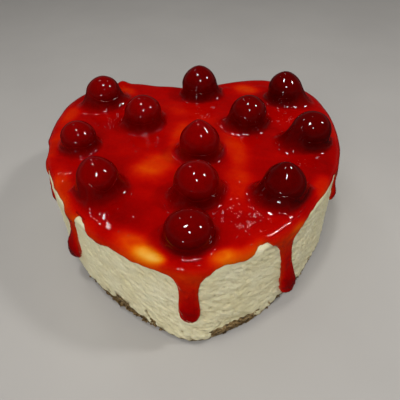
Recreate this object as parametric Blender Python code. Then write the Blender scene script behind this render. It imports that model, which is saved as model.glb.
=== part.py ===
"""Heart-shaped cheesecake: biscuit base, cream cheese filling, red glaze with drips, and twelve cherries.

Units are metres. +Z is up, the cake stands on z = 0, and the origin is the middle of the heart's
footprint. The heart's point faces -Y. Run with: blender --background --python part.py
"""

import math
import random

import bmesh
import bpy
from mathutils import Vector

MM = 0.001

# The heart, seen from above, is one smooth loop of tangent arcs.
LOBE_SPAN = 200 * MM
HEART_LENGTH = 192 * MM
LOBE_RADIUS = 47.3 * MM
CLEFT_RADIUS = 80 * MM
FLANK_RADIUS = 133 * MM
TIP_RADIUS = 29.3 * MM
PLAN_CENTRE = Vector((0.0, 8 * MM))

# Heights of the layers. GAP keeps neighbouring solids just apart.
GAP = 0.3 * MM
BASE_TOP = 8.5 * MM
FILLING_TOP = 66 * MM
RIM_RADIUS = 5 * MM

# The wall leans out a little towards the board, and the cream laps over the biscuit's side.
BASE_GROW = 0.6 * MM
BASE_CRAG = 0.55 * MM
BASE_CHAMFER = 1 * MM
FILLING_SLUMP = 2.6 * MM
# The foot spreads further at the heart's point: how far, its place along the rim and its reach.
POINT_SPREAD = 3.7 * MM
POINT_SPREAD_PLACE = 11 * MM
POINT_SPREAD_REACH = 48 * MM
BASE_SPREAD_SHARE = 0.8
STROKE_DEPTH = 0.35 * MM
STROKE_CREST = 1.7 * STROKE_DEPTH
LIP_CLEARANCE = 0.4 * MM
LIP_PROUD = 0.2 * MM

GLAZE_TOP = 2.1 * MM
GLAZE_SIDE = 1.5 * MM
GLAZE_EDGE = 0.45 * MM
EDGE_ROUNDING = 3.5 * MM
SKIRT_START = 9 * MM

# Lip of cream over the biscuit: distance along the rim from the point (+ is +X side), then drop.
LIP_DROP = [
    (-324, 3.0), (-270, 5.0), (-215, 2.0), (-170, 4.0), (-125, 2.0), (-88, 3.5), (-62, 1.0), (-40, 1.6),
    (-26, 4.5), (-10, 6.6), (12, 6.8), (34, 5.2), (52, 3.0), (72, 4.2), (98, 2.2), (140, 4.6), (190, 2.0), (245, 4.8),
    (290, 2.4),
]

# Edge of the glaze on the wall: distance along the rim from the point, then depth below the rim.
GLAZE_REACH = [
    (-324, 8.0), (-300, 6.0), (-280, 8.5), (-255, 5.5), (-232, 9.0), (-205, 6.0), (-182, 9.0), (-163, 5.5),
    (-152, 2.4), (-144, 5.0), (-130, 5.0), (-120, 2.0), (-106, 2.2), (-94, 5.0), (-79, 5.0), (-70, 2.0),
    (-64, 3.2), (-58, 8.2), (-48, 5.8),
    (-40, 6.4), (-29, 6.6), (-19, 7.4), (-13, 6.2), (9, 6.8), (15, 3.8), (20, 4.2), (28, 7.2), (33, 4.8), (38, 1.6),
    (43, 3.0), (48, 8.5), (66, 8.5), (72, 6.0), (79, 4.0), (95, 3.6), (112, 3.4), (134, 6.0), (150, 9.0), (170, 7.0),
    (192, 9.5), (215, 5.5), (240, 9.0), (262, 6.0), (286, 9.0), (306, 6.5),
]

# Drips: distance along the rim from the point, width, depth of the lowest point, lean, bulge.
DRIPS = [
    (-3.0, 10.5, 46, 0.5, 1.6),
    (57.5, 10.5, 58, 4.0, 2.2),
    (-86.5, 11.0, 45, -2.0, 2.4),
    (-137, 10.0, 36, 0.0, 2.0),
    (128, 9.5, 33, 0.0, 1.8),
    (-194, 10.5, 38, 1.5, 1.8),
    (-246, 9.5, 25, -1.0, 1.6),
    (-289, 10.0, 45, 0.5, 2.0),
    (204, 10.0, 27, -1.0, 1.8),
    (252, 11.0, 47, 1.5, 2.0),
    (297, 9.5, 30, 0.0, 1.8),
]
# Cross-sections of a drip from root to end: share of its way down, of its width and of its bulge.
DRIP_SHAPE = [
    (0.0, 1.6, -0.35), (0.09, 1.3, 0.0), (0.24, 0.85, 0.2), (0.5, 0.76, 0.3), (0.72, 0.9, 0.7), (0.84, 1.0, 1.0),
    (0.93, 0.86, 0.85), (0.985, 0.5, 0.3),
]
DRIP_ROOT = 1.5 * MM
DRIP_BACK = 0.15 * MM
DRIP_ROOT_LIFT = 0.3 * MM
DRIP_ARC = 5

# Cherries: x, y, diameter, height of the round top, height of the peak over it, lean along x and y.
CHERRIES = [
    (-68.0, 63.5, 26.5, 22.3, 0.0, 1.0, 0.0),
    (-34.5, 31.5, 27.0, 22.7, 0.8, 0.4, -0.4),
    (6.0, 71.5, 28.0, 23.5, 1.4, 0.2, 0.2),
    (71.5, 60.0, 26.5, 22.3, 1.2, -0.8, 0.4),
    (39.0, 26.5, 26.5, 22.3, 1.2, 0.3, 0.2),
    (77.0, 3.5, 26.5, 22.3, 0.0, 1.2, 0.6),
    (-74.5, 5.0, 23.5, 19.7, 0.4, -0.4, 0.4),
    (-54.5, -37.5, 25.5, 21.4, 1.6, -0.6, 0.8),
    (5.0, -6.0, 27.0, 22.7, 3.2, -0.3, 0.6),
    (2.5, -45.5, 27.5, 23.1, 0.6, -0.6, 0.4),
    (51.0, -47.5, 25.5, 20.6, 3.0, 0.2, 0.8),
    (-2.0, -77.5, 26.5, 18.4, 0.0, -0.4, -0.2),
]
CHERRY_BELLY = 0.46
CHERRY_FOOT = 0.55
# Skirt of glaze round a cherry: its greatest reach, its wall at the top, and its height from the foot.
COLLAR_REACH = 6 * MM
COLLAR_WALL = 0.6 * MM
COLLAR_RISE = 7.5 * MM
COLLAR_SUNK = 0.9 * MM
# Rings of the skirt: share of its reach, share of its rise.
COLLAR_SHAPE = [(1.0, 0.0), (0.45, 0.3), (0.15, 0.65), (0.0, 1.0)]

BASE_COLUMNS = 80
FILLING_COLUMNS = 88
GLAZE_COLUMNS = 100
CHERRY_SEGMENTS = 14


def material(name, colour, roughness):
    """A Principled material of one colour."""
    made = bpy.data.materials.new(name)
    made.use_nodes = True
    shader = made.node_tree.nodes["Principled BSDF"]
    shader.inputs["Base Color"].default_value = (*colour, 1.0)
    shader.inputs["Roughness"].default_value = roughness
    shader.inputs["Metallic"].default_value = 0.0
    return made


class HeartOutline:
    """The right half of the heart as arcs, from the cleft round the lobe and flank to the point."""

    def __init__(self):
        lobe = Vector((LOBE_SPAN / 2 - LOBE_RADIUS, HEART_LENGTH / 2 - LOBE_RADIUS))
        tip = Vector((0.0, TIP_RADIUS - HEART_LENGTH / 2))
        cleft_rise = math.sqrt((LOBE_RADIUS + CLEFT_RADIUS) ** 2 - lobe.x**2)
        cleft = Vector((0.0, lobe.y + cleft_rise))
        flank = self.flank_centre(lobe, tip)
        to_lobe = self.bearing(cleft, lobe)
        off_lobe = self.bearing(flank, lobe)
        off_flank = self.bearing(flank, tip)
        half_turn = math.pi
        # Each arc: centre, radius, first and last bearing, and whether its outside faces the centre.
        self.arcs = [
            (cleft, CLEFT_RADIUS, -half_turn / 2, to_lobe, -1),
            (lobe, LOBE_RADIUS, to_lobe + half_turn, off_lobe, 1),
            (flank, FLANK_RADIUS, off_lobe, off_flank, 1),
            (tip, TIP_RADIUS, off_flank, -half_turn / 2, 1),
        ]
        self.lengths = [abs(last - first) * radius for _, radius, first, last, _ in self.arcs]
        self.half_length = sum(self.lengths)

    @staticmethod
    def bearing(start, end):
        """Angle of the line from one centre to another."""
        return math.atan2(end.y - start.y, end.x - start.x)

    @staticmethod
    def flank_centre(lobe, tip):
        """Centre of the arc that touches the lobe's circle and the point's circle from outside them."""
        span = tip - lobe
        reach_lobe, reach_tip = FLANK_RADIUS - LOBE_RADIUS, FLANK_RADIUS - TIP_RADIUS
        along = (reach_lobe**2 - reach_tip**2 + span.length_squared) / (2 * span.length)
        across = math.sqrt(reach_lobe**2 - along**2)
        direction = span.normalized()
        sideways = Vector((direction.y, -direction.x))
        return lobe + direction * along + sideways * across

    def at(self, distance):
        """Point and outward normal at a distance along the rim from the point of the heart."""
        side = 1 if distance >= 0 else -1
        left = self.half_length - min(abs(distance), self.half_length)
        for (centre, radius, first, last, facing), length in zip(self.arcs, self.lengths):
            if left <= length:
                break
            left -= length
        angle = first + (last - first) * min(left / length, 1.0)
        out = Vector((math.cos(angle), math.sin(angle)))
        point = centre + out * radius
        normal = out * facing
        return Vector((side * point.x, point.y)), Vector((side * normal.x, normal.y))


HEART = HeartOutline()
HALF_RIM = HEART.half_length


def wrapped(distance):
    """A distance along the rim brought into the range from minus to plus half the rim."""
    return (distance + HALF_RIM) % (2 * HALF_RIM) - HALF_RIM


def along_table(table, distance):
    """Value of a table of (millimetres along the rim, millimetres), eased between its entries."""
    whole = 2 * HALF_RIM / MM
    first_place, first_value = table[0]
    place = first_place + (distance / MM - first_place) % whole
    entries = table + [(first_place + whole, first_value)]
    for (low, before), (high, after) in zip(entries, entries[1:]):
        if low <= place <= high:
            break
    share = (place - low) / (high - low)
    eased = share * share * (3 - 2 * share)
    return (before + (after - before) * eased) * MM


def wall_point(distance, grow, height):
    """Point at a height, grown outwards from the rim's outline."""
    point, normal = HEART.at(distance)
    flat = point + normal * grow
    return Vector((flat.x, flat.y, height))


def towards_centre(point, share):
    """A point moved in plan towards the middle of the heart; share 1 leaves it in place."""
    flat = PLAN_CENTRE + (point.xy - PLAN_CENTRE) * share
    return Vector((flat.x, flat.y, point.z))


def even_distances(columns):
    """Distances along the rim, evenly spaced all the way round."""
    return [-HALF_RIM + 2 * HALF_RIM * k / columns for k in range(columns)]


def ring_solid(name, rings, finish, start_centre, end_centre):
    """A closed solid of rings with the same count of points, closed by a fan at each end."""
    work = bmesh.new()
    loops = [[work.verts.new(point) for point in ring] for ring in rings]
    count = len(loops[0])
    for lower, upper in zip(loops, loops[1:]):
        for k in range(count):
            after = (k + 1) % count
            work.faces.new((lower[k], lower[after], upper[after], upper[k]))
    for centre, loop in ((start_centre, loops[0]), (end_centre, loops[-1])):
        hub = work.verts.new(centre)
        for k in range(count):
            work.faces.new((loop[k], loop[(k + 1) % count], hub))
    bmesh.ops.recalc_face_normals(work, faces=work.faces)
    bmesh.ops.triangulate(work, faces=work.faces)
    return finished(name, work, finish)


def finished(name, work, finish):
    """Turns a bmesh into a named, smooth-shaded object with its material."""
    mesh = bpy.data.meshes.new(name)
    work.to_mesh(mesh)
    work.free()
    mesh.shade_smooth()
    mesh.set_sharp_from_angle(angle=math.radians(40))
    mesh.materials.append(finish)
    made = bpy.data.objects.new(name, mesh)
    bpy.context.scene.collection.objects.link(made)
    return made


def foot_spread(distance):
    """How much further the foot spreads round the heart's point, as a bell along the rim."""
    away = (wrapped(distance) - POINT_SPREAD_PLACE) / POINT_SPREAD_REACH
    return POINT_SPREAD * math.exp(-away * away)


def slump(distance, height):
    """How far the wall leans out: nothing at the rim, and the most at the board."""
    return (FILLING_SLUMP + foot_spread(distance)) * (1 - height / FILLING_TOP) ** 1.6


def base_spread(distance):
    """How far the biscuit's side moves out with the foot."""
    return BASE_SPREAD_SHARE * foot_spread(distance)


def biscuit_base(finish):
    """Pressed crumb base with a flat foot and a craggy side."""
    rng = random.Random(11)
    distances = even_distances(BASE_COLUMNS)
    rings = []
    for share in (0.0, 0.12, 0.5, 0.88, 1.0):
        on_face = share in (0.0, 1.0)
        grow = BASE_GROW - BASE_CHAMFER if on_face else BASE_GROW
        crag = 0.0 if on_face else BASE_CRAG
        rings.append(
            [wall_point(s, grow + base_spread(s) + rng.uniform(-crag, crag), BASE_TOP * share) for s in distances]
        )
    foot = Vector((*PLAN_CENTRE, 0.0))
    crown = Vector((*PLAN_CENTRE, BASE_TOP))
    return ring_solid("biscuit_base", rings, finish, foot, crown)


def stroke_relief(distance, height):
    """Shallow waves that a palette knife leaves along the wall of cream."""
    place = distance / MM
    level = height / MM
    wave = math.sin(place / 9.5 + level / 7.0) + 0.7 * math.sin(place / 23.0 - level / 5.2 + 1.3)
    return STROKE_DEPTH * wave


def cheese_filling(finish):
    """Cream cheese filling: rounded rim, wall that slumps a little, lip over the biscuit's side."""
    distances = even_distances(FILLING_COLUMNS)
    floor = BASE_TOP + GAP
    inner_grow = BASE_GROW + BASE_CRAG + LIP_CLEARANCE
    lip = [BASE_TOP - along_table(LIP_DROP, s) for s in distances]
    rings = [
        [wall_point(s, inner_grow + base_spread(s), floor) for s in distances],
        [wall_point(s, inner_grow + base_spread(s), low) for s, low in zip(distances, lip)],
        [wall_point(s, slump(s, low) + LIP_PROUD, low) for s, low in zip(distances, lip)],
    ]
    for height in (13, 28, 43, 56):
        z = height * MM
        rings.append([wall_point(s, slump(s, z) + stroke_relief(s, z), z) for s in distances])
    for turn in (0, 30, 60, 90):
        angle = math.radians(turn)
        grow = RIM_RADIUS * (math.cos(angle) - 1)
        z = FILLING_TOP - RIM_RADIUS + RIM_RADIUS * math.sin(angle)
        rings.append([wall_point(s, grow, z) for s in distances])
    hollow = Vector((*PLAN_CENTRE, floor))
    crown = Vector((*PLAN_CENTRE, FILLING_TOP))
    return ring_solid("cheese_filling", rings, finish, hollow, crown)


def on_surface(distance, run, offset):
    """Point over the filling: run is the way from the rim's inner edge outwards and down the wall."""
    quarter = RIM_RADIUS * math.pi / 2
    point, normal = HEART.at(wrapped(distance))
    if run <= quarter:
        angle = max(run, 0.0) / RIM_RADIUS
        grow = -RIM_RADIUS + min(run, 0.0) + (RIM_RADIUS + offset) * math.sin(angle)
        z = FILLING_TOP - RIM_RADIUS + (RIM_RADIUS + offset) * math.cos(angle)
    else:
        z = FILLING_TOP - RIM_RADIUS - (run - quarter)
        clear = min((run - quarter) / RIM_RADIUS, 1.0)
        grow = slump(distance, z) + STROKE_CREST * clear + offset
    flat = point + normal * grow
    return Vector((flat.x, flat.y, z))


def run_to_depth(depth):
    """Way round the rounded rim and down the wall that ends at a depth below the rim."""
    if depth < RIM_RADIUS:
        return RIM_RADIUS * math.acos(1 - depth / RIM_RADIUS)
    return RIM_RADIUS * math.pi / 2 + depth - RIM_RADIUS


def rounded(way, reach):
    """Share of full thickness at a way in from a rounded edge."""
    inward = min(way / reach, 1.0)
    return math.sqrt(1 - (1 - inward) ** 2)


def glaze_sheet(finish):
    """Glaze over the top and round the rim, down to its wavy edge on the wall, as one solid."""
    distances = even_distances(GLAZE_COLUMNS)
    reach = [run_to_depth(along_table(GLAZE_REACH, s)) for s in distances]
    outer = [[on_surface(s, -SKIRT_START, GAP + GLAZE_TOP) for s in distances]]
    for share in (0.0, 0.4, 0.7, 0.9, 1.0):
        ring = []
        for s, edge in zip(distances, reach):
            body = GLAZE_TOP + (GLAZE_SIDE - GLAZE_TOP) * share
            thick = GLAZE_EDGE + (body - GLAZE_EDGE) * rounded(edge * (1 - share), EDGE_ROUNDING)
            ring.append(on_surface(s, edge * share, GAP + thick))
        outer.append(ring)
    inner = [[on_surface(s, edge, GAP) for s, edge in zip(distances, reach)]]
    for share in (1.0, 0.67, 0.33, 0.0):
        bend = [share * min(RIM_RADIUS * math.pi / 2, 0.9 * edge) for edge in reach]
        inner.append([on_surface(s, run, GAP) for s, run in zip(distances, bend)])
    top = [[towards_centre(point, share) for point in outer[0]] for share in (0.35, 0.7)]
    crown = Vector((*PLAN_CENTRE, FILLING_TOP + GAP + GLAZE_TOP))
    under = Vector((*PLAN_CENTRE, FILLING_TOP + GAP))
    return ring_solid("glaze", top + outer + inner, finish, crown, under)


def drip_solid(index, drip, finish):
    """One drip: a flared root under the sheet, a neck, and a bulging round end lower on the wall."""
    centre, width, depth, lean, bulge = (value * MM for value in drip)
    start, stop = run_to_depth(DRIP_ROOT), run_to_depth(depth)
    rings = []
    for share, wide, full in DRIP_SHAPE:
        run = start + (stop - start) * share
        middle = centre + lean * share
        half = width / 2 * wide
        ring = []
        for k in range(DRIP_ARC + 1):
            turn = math.pi * k / DRIP_ARC
            offset = GAP + GLAZE_EDGE + (GLAZE_SIDE + bulge * full) * math.sin(turn)
            ring.append(on_surface(middle - half * math.cos(turn), run, offset))
        lift = GAP + DRIP_BACK + DRIP_ROOT_LIFT * max(1 - share / DRIP_SHAPE[2][0], 0.0)
        back = [on_surface(middle + half * 0.9 * across, run, lift) for across in (1, 0, -1)]
        rings.append(ring + back)
    root = sum(rings[0], Vector()) / len(rings[0])
    end = on_surface(centre + lean, stop + 0.3 * MM, GAP + GLAZE_EDGE)
    return ring_solid(f"drip_{index:02d}", rings, finish, root, end)


def cherry_profile(radius, height, peak):
    """Half outline of a cherry as (radius, height) from its flat foot to its top."""
    belly = height * CHERRY_BELLY
    points = [(radius * CHERRY_FOOT, 0.0)]
    for turn in (-30, -8):
        angle = math.radians(turn)
        points.append((radius * math.cos(angle), belly * (1 + 1.12 * math.sin(angle))))
    for turn in (16, 38, 58, 76):
        angle = math.radians(turn)
        raised = peak * (1 - math.cos(angle)) ** 2
        points.append((radius * math.cos(angle), belly + (height - belly) * math.sin(angle) + raised))
    points.append((0.0, height + peak))
    return points


def cherry_solid(name, spec, finish, grow=0.0, foot=FILLING_TOP + GAP):
    """A cherry on the filling, spun about its own axis and leaning a little; grow makes its pocket."""
    x, y, diameter, height, peak, lean_x, lean_y = (value * MM for value in spec)
    work = bmesh.new()
    profile = cherry_profile(diameter / 2 + grow, height + 2 * grow, peak)
    stem = [work.verts.new((r, 0.0, z)) for r, z in profile]
    start = work.verts.new((0.0, 0.0, 0.0))
    chain = [start] + stem
    edges = [work.edges.new(pair) for pair in zip(chain, chain[1:])]
    bmesh.ops.spin(
        work, geom=chain + edges, axis=(0, 0, 1), cent=(0, 0, 0), steps=CHERRY_SEGMENTS, angle=2 * math.pi
    )
    bmesh.ops.remove_doubles(work, verts=work.verts, dist=1e-6)
    top = profile[-1][1]
    for vert in work.verts:
        share = vert.co.z / top
        vert.co.x += x + lean_x * share
        vert.co.y += y + lean_y * share
        vert.co.z += foot
    bmesh.ops.recalc_face_normals(work, faces=work.faces)
    bmesh.ops.triangulate(work, faces=work.faces)
    return finished(name, work, finish)


def rim_distance(place):
    """Shortest way in plan from a place to the rim."""
    return min((HEART.at(s)[0] - place).length for s in even_distances(400))


def glaze_collar(index, spec, finish):
    """The skirt of glaze that climbs a cherry and leans with it, as a solid with a hollow-curved side."""
    x, y, diameter, tall, _, lean_x, lean_y = (value * MM for value in spec)
    radius = diameter / 2 + GAP + COLLAR_WALL
    room = rim_distance(Vector((x, y))) - RIM_RADIUS
    reach = min(COLLAR_REACH, max(room - radius, COLLAR_WALL))
    rings = []
    for spread, rise in COLLAR_SHAPE:
        height = COLLAR_SUNK + (COLLAR_RISE - COLLAR_SUNK) * rise
        share = height / tall
        width = radius + reach * spread
        ring = []
        for k in range(CHERRY_SEGMENTS):
            turn = 2 * math.pi * k / CHERRY_SEGMENTS
            across = x + lean_x * share + width * math.cos(turn)
            along = y + lean_y * share + width * math.sin(turn)
            ring.append(Vector((across, along, FILLING_TOP + GAP + height)))
        rings.append(ring)
    foot = Vector((x, y, rings[0][0].z))
    crown = Vector((x, y, rings[-1][0].z))
    return ring_solid(f"collar_{index:02d}", rings, finish, foot, crown)


def apply_boolean(target, operation, tools):
    """Joins or cuts the target with every tool at once, applies it and removes the tools."""
    group = bpy.data.collections.new(f"{target.name}_{operation.lower()}")
    for tool in tools:
        group.objects.link(tool)
    modifier = target.modifiers.new("joined", "BOOLEAN")
    modifier.operation = operation
    modifier.operand_type = "COLLECTION"
    modifier.collection = group
    modifier.solver = "EXACT"
    bpy.context.view_layer.update()
    shaped = bpy.data.meshes.new_from_object(target.evaluated_get(bpy.context.evaluated_depsgraph_get()))
    target.modifiers.clear()
    target.data = shaped
    for tool in tools:
        bpy.data.objects.remove(tool)
    bpy.data.collections.remove(group)


def glaze(finish):
    """The sheet of glaze joined with its drips and collars, with a pocket left for each cherry."""
    sheet = glaze_sheet(finish)
    additions = [drip_solid(k, drip, finish) for k, drip in enumerate(DRIPS, 1)]
    additions += [glaze_collar(k, spec, finish) for k, spec in enumerate(CHERRIES, 1)]
    apply_boolean(sheet, "UNION", additions)
    pockets = []
    for k, spec in enumerate(CHERRIES, 1):
        pocket = cherry_solid(f"pocket_{k:02d}", spec, finish, grow=GAP, foot=FILLING_TOP - GAP)
        pockets.append(pocket)
    apply_boolean(sheet, "DIFFERENCE", pockets)
    return sheet


def main():
    """Clears the scene and builds the cake."""
    for old in list(bpy.data.objects):
        bpy.data.objects.remove(old)
    crumb = material("biscuit_crumb", (0.36, 0.20, 0.08), 0.9)
    cream = material("cream_cheese", (0.80, 0.74, 0.53), 0.55)
    jelly = material("red_glaze", (0.45, 0.01, 0.0), 0.08)
    fruit = material("cherry_flesh", (0.16, 0.0, 0.0), 0.1)
    biscuit_base(crumb)
    cheese_filling(cream)
    glaze(jelly)
    for index, spec in enumerate(CHERRIES, 1):
        cherry_solid(f"cherry_{index:02d}", spec, fruit)


main()
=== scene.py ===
"""The looks of the heart-shaped cherry cheesecake: biscuit crumb, cream, red glaze and cherries.

Shapes are worked out in millimetres and turned into metres when their mesh is made. A place on the
cake is given by its distance along the rim from the heart's point, + on the +X side, and by its run,
the way over the shoulder: 0 at the shoulder's inner edge, then round it and down the wall.
"""

import logging
import math
from dataclasses import dataclass, field
from enum import Enum
from itertools import combinations

import bpy
import numpy as np
from mathutils import Matrix, Vector


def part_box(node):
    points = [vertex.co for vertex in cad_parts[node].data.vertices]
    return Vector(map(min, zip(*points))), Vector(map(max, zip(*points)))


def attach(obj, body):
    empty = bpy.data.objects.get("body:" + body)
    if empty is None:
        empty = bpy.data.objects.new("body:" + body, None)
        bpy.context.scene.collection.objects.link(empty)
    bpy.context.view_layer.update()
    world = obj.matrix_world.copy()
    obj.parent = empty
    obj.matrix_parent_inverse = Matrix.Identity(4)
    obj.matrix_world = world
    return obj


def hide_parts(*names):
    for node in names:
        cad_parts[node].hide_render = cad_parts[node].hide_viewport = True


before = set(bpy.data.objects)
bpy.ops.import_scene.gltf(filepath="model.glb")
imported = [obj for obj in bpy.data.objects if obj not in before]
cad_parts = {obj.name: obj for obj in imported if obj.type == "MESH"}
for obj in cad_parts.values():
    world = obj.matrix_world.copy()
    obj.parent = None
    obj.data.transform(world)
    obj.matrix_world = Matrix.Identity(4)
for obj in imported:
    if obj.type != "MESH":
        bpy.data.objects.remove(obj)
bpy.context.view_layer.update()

Array = np.ndarray
Colour = tuple[float, float, float]
Place = tuple[float, float, float]
MM = 0.001
TURN = 2 * math.pi
# The Mix node's own numbers for its two colours and for the mixed one.
MIX_FIRST, MIX_SECOND, MIX_RESULT = 6, 7, 2
# Cells by which a grain in plan is moved, so that the lattice's edge lies off the cake.
OFF_CAKE = 40
log = logging.getLogger("cheesecake")


def smooth_step(low: float, high: float, value: Array) -> Array:
    """Eased share of the way from low to high.

    Args:
        low: value where the share is 0.
        high: value where the share is 1.
        value: where it is asked for.

    Returns:
        3q^2 - 2q^3, with q the clipped share.
    """
    share = np.clip((value - low) / (high - low), 0.0, 1.0)
    return share * share * (3 - 2 * share)


def smooth_max(first: Array, second: Array, blend: float) -> Array:
    """The larger of two fields, with a rounded join.

    Args:
        first: one field.
        second: the other field.
        blend: difference under which the two merge.

    Returns:
        max(a, b) + h^2 blend / 4, with h = max(blend - |a - b|, 0) / blend.
    """
    near = np.maximum(blend - np.abs(first - second), 0.0) / blend
    return np.maximum(first, second) + near * near * blend / 4


def around_table(table: list[tuple[float, float]], place: Array, period: float) -> Array:
    """Reads a table that repeats round the rim, eased between its entries.

    Args:
        table: (place, value) pairs in rising order of place.
        place: where values are asked for.
        period: length after which the table repeats.

    Returns:
        The eased value at each place.
    """
    places = np.array([entry[0] for entry in table] + [table[0][0] + period])
    values = np.array([entry[1] for entry in table] + [table[0][1]])
    turned = places[0] + (place - places[0]) % period
    upper = np.clip(np.searchsorted(places, turned, side="right"), 1, len(places) - 1)
    share = smooth_step(0.0, 1.0, (turned - places[upper - 1]) / (places[upper] - places[upper - 1]))
    return values[upper - 1] + (values[upper] - values[upper - 1]) * share


@dataclass(frozen=True)
class Grain:
    """Smooth random relief between -1 and 1: random numbers on a lattice, eased between its corners."""

    seed: int
    columns: int = 128
    rows: int = 128

    def at(self, across: Array, along: Array) -> Array:
        """Eased mix of the four random numbers round each place.

        Args:
            across: place in cells, which repeats after the lattice's columns.
            along: place in cells, which repeats after the lattice's rows.

        Returns:
            The relief at each place.
        """
        table = np.random.default_rng(self.seed).uniform(-1.0, 1.0, (self.columns, self.rows))
        left, low = np.floor(across).astype(int), np.floor(along).astype(int)
        x, y = smooth_step(0.0, 1.0, across - left), smooth_step(0.0, 1.0, along - low)
        i, j = left % self.columns, low % self.rows
        i_next, j_next = (left + 1) % self.columns, (low + 1) % self.rows
        lower = table[i, j] * (1 - x) + table[i_next, j] * x
        upper = table[i, j_next] * (1 - x) + table[i_next, j_next] * x
        return lower * (1 - y) + upper * y

    def over(self, x: Array, y: Array, cell: float) -> Array:
        """Relief in plan with square cells, moved so that the lattice's edge lies off the cake."""
        return self.at(x / cell + OFF_CAKE, y / cell + OFF_CAKE)


@dataclass(frozen=True)
class RimGrain:
    """Grain wrapped round the rim, with so many cells in its length, each so tall.

    It slides sideways by one cell in each drag of height, and climbs by so many cells once round, so that
    places far apart don't look alike.
    """

    seed: int
    cells: int
    tall: float = 1.0
    drag: float = math.inf
    climb: float = 0.0

    def at(self, share: Array, height: Array | float = 0.0) -> Array:
        """Relief at a share of the way round the rim and a height."""
        across = share * self.cells - height / self.drag
        return Grain(self.seed, self.cells).at(across, height / self.tall + share * self.climb)


@dataclass(frozen=True)
class HeartRim:
    """Outline of the heart from above: tangent arcs for the cleft, lobe, flank and point.

    Sizes are in millimetres. The hair is a tiny share of the rim that keeps its very end on the last arc.
    """

    lobe_span: float = 200.0
    length: float = 192.0
    lobe_radius: float = 47.3
    cleft_radius: float = 80.0
    flank_radius: float = 133.0
    tip_radius: float = 29.3
    hair: float = 1e-12

    def arcs(self) -> Array:
        """The arcs of the right half, from the cleft to the point, each tangent to the next.

        Returns:
            Centre x, centre y, radius, first and last bearing and facing, with one row for each arc.
        """
        lobe = np.array([self.lobe_span / 2 - self.lobe_radius, self.length / 2 - self.lobe_radius])
        tip = np.array([0.0, self.tip_radius - self.length / 2])
        rise = math.sqrt((self.lobe_radius + self.cleft_radius) ** 2 - lobe[0] ** 2)
        cleft = np.array([0.0, lobe[1] + rise])
        span = tip - lobe
        reach = np.linalg.norm(span)
        to_lobe, to_tip = self.flank_radius - self.lobe_radius, self.flank_radius - self.tip_radius
        along = (to_lobe**2 - to_tip**2 + reach**2) / (2 * reach)
        sideways = np.array([span[1], -span[0]]) / reach
        flank = lobe + span / reach * along + sideways * math.sqrt(to_lobe**2 - along**2)
        joins = ((cleft, lobe), (flank, lobe), (flank, tip))
        bearings = [math.atan2(*(end - start)[::-1]) for start, end in joins]
        return np.array(
            [
                (*cleft, self.cleft_radius, -math.pi / 2, bearings[0], -1.0),
                (*lobe, self.lobe_radius, bearings[0] + math.pi, bearings[1], 1.0),
                (*flank, self.flank_radius, bearings[1], bearings[2], 1.0),
                (*tip, self.tip_radius, bearings[2], -math.pi / 2, 1.0),
            ]
        )

    def half(self) -> float:
        """Length of half the rim, from the point to the cleft."""
        arcs = self.arcs()
        return float(np.sum(np.abs(arcs[:, 4] - arcs[:, 3]) * arcs[:, 2]))

    @property
    def whole(self) -> float:
        """Length of the rim once round."""
        return 2 * self.half()

    def share(self, distance: Array) -> Array:
        """Share of the way round the rim from the cleft, which is a half at the point."""
        return distance / self.whole + 0.5

    def aside(self, distance: Array, place: Array | float) -> Array:
        """Way along the rim from a place to a distance, by the shorter way round."""
        return (distance - place + self.whole / 2) % self.whole - self.whole / 2

    def at(self, distance: Array) -> tuple[Array, Array]:
        """Points and outward normals at distances along the rim.

        Args:
            distance: way along the rim from the point.

        Returns:
            Plan points and unit normals, with x and y in the last axis.
        """
        arcs = self.arcs()
        lengths = np.abs(arcs[:, 4] - arcs[:, 3]) * arcs[:, 2]
        ends = np.cumsum(lengths)
        half = ends[-1]
        turned = (distance + half) % (2 * half) - half
        side = np.where(turned >= 0, 1.0, -1.0)
        left = np.clip(half - np.abs(turned), 0.0, half * (1 - self.hair))
        arc = np.searchsorted(ends, left, side="right")
        x, y, radius, first, last, facing = np.moveaxis(arcs[arc], -1, 0)
        bearing = first + (last - first) * (left - ends[arc] + lengths[arc]) / lengths[arc]
        out = np.stack([side * np.cos(bearing), np.sin(bearing)], axis=-1)
        point = np.stack([side * x, y], axis=-1) + out * radius[..., None]
        return point, out * facing[..., None]

    def raised(self, distance: Array, out: Array | float, height: Array | float) -> Array:
        """Points off the rim: its plan point moved out along its normal, at a height.

        Args:
            distance: way along the rim from the point.
            out: how far out of the rim each point lies.
            height: height of each point.

        Returns:
            One point for each distance, with x, y and z in the last axis.
        """
        flat, normal = self.at(distance)
        out, height = np.broadcast_to(out, distance.shape), np.broadcast_to(height, distance.shape)
        return np.concatenate([flat + normal * out[..., None], height[..., None]], axis=-1)

    def evenly(self, count: int) -> Array:
        """Distances along the rim, evenly spaced once round."""
        return -self.half() + self.whole * np.arange(count) / count


@dataclass(frozen=True)
class Pit:
    """A small hole in the wall of cream: its place, width, height and depth."""

    along: float
    height: float
    wide: float
    tall: float
    deep: float


@dataclass(frozen=True)
class Crease:
    """The shallow hollow under the arched lip right of the point: an ellipse on the wall."""

    place: float = 21.0
    height: float = 3.0
    half_width: float = 15.0
    half_height: float = 13.0
    depth: float = 1.3
    ragged: float = 0.05
    cell: float = 2.0
    edge: tuple[float, float] = (0.88, 1.06)

    def over(self, s: Array, z: Array) -> Array:
        """Share of the hollow: 1 inside the ellipse, eased to 0 over a narrow, ragged edge."""
        ellipse = np.hypot((s - self.place) / self.half_width, (z - self.height) / self.half_height)
        return 1 - smooth_step(*self.edge, ellipse + self.ragged * Grain(5).at(s / self.cell, z / self.cell))


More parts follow.
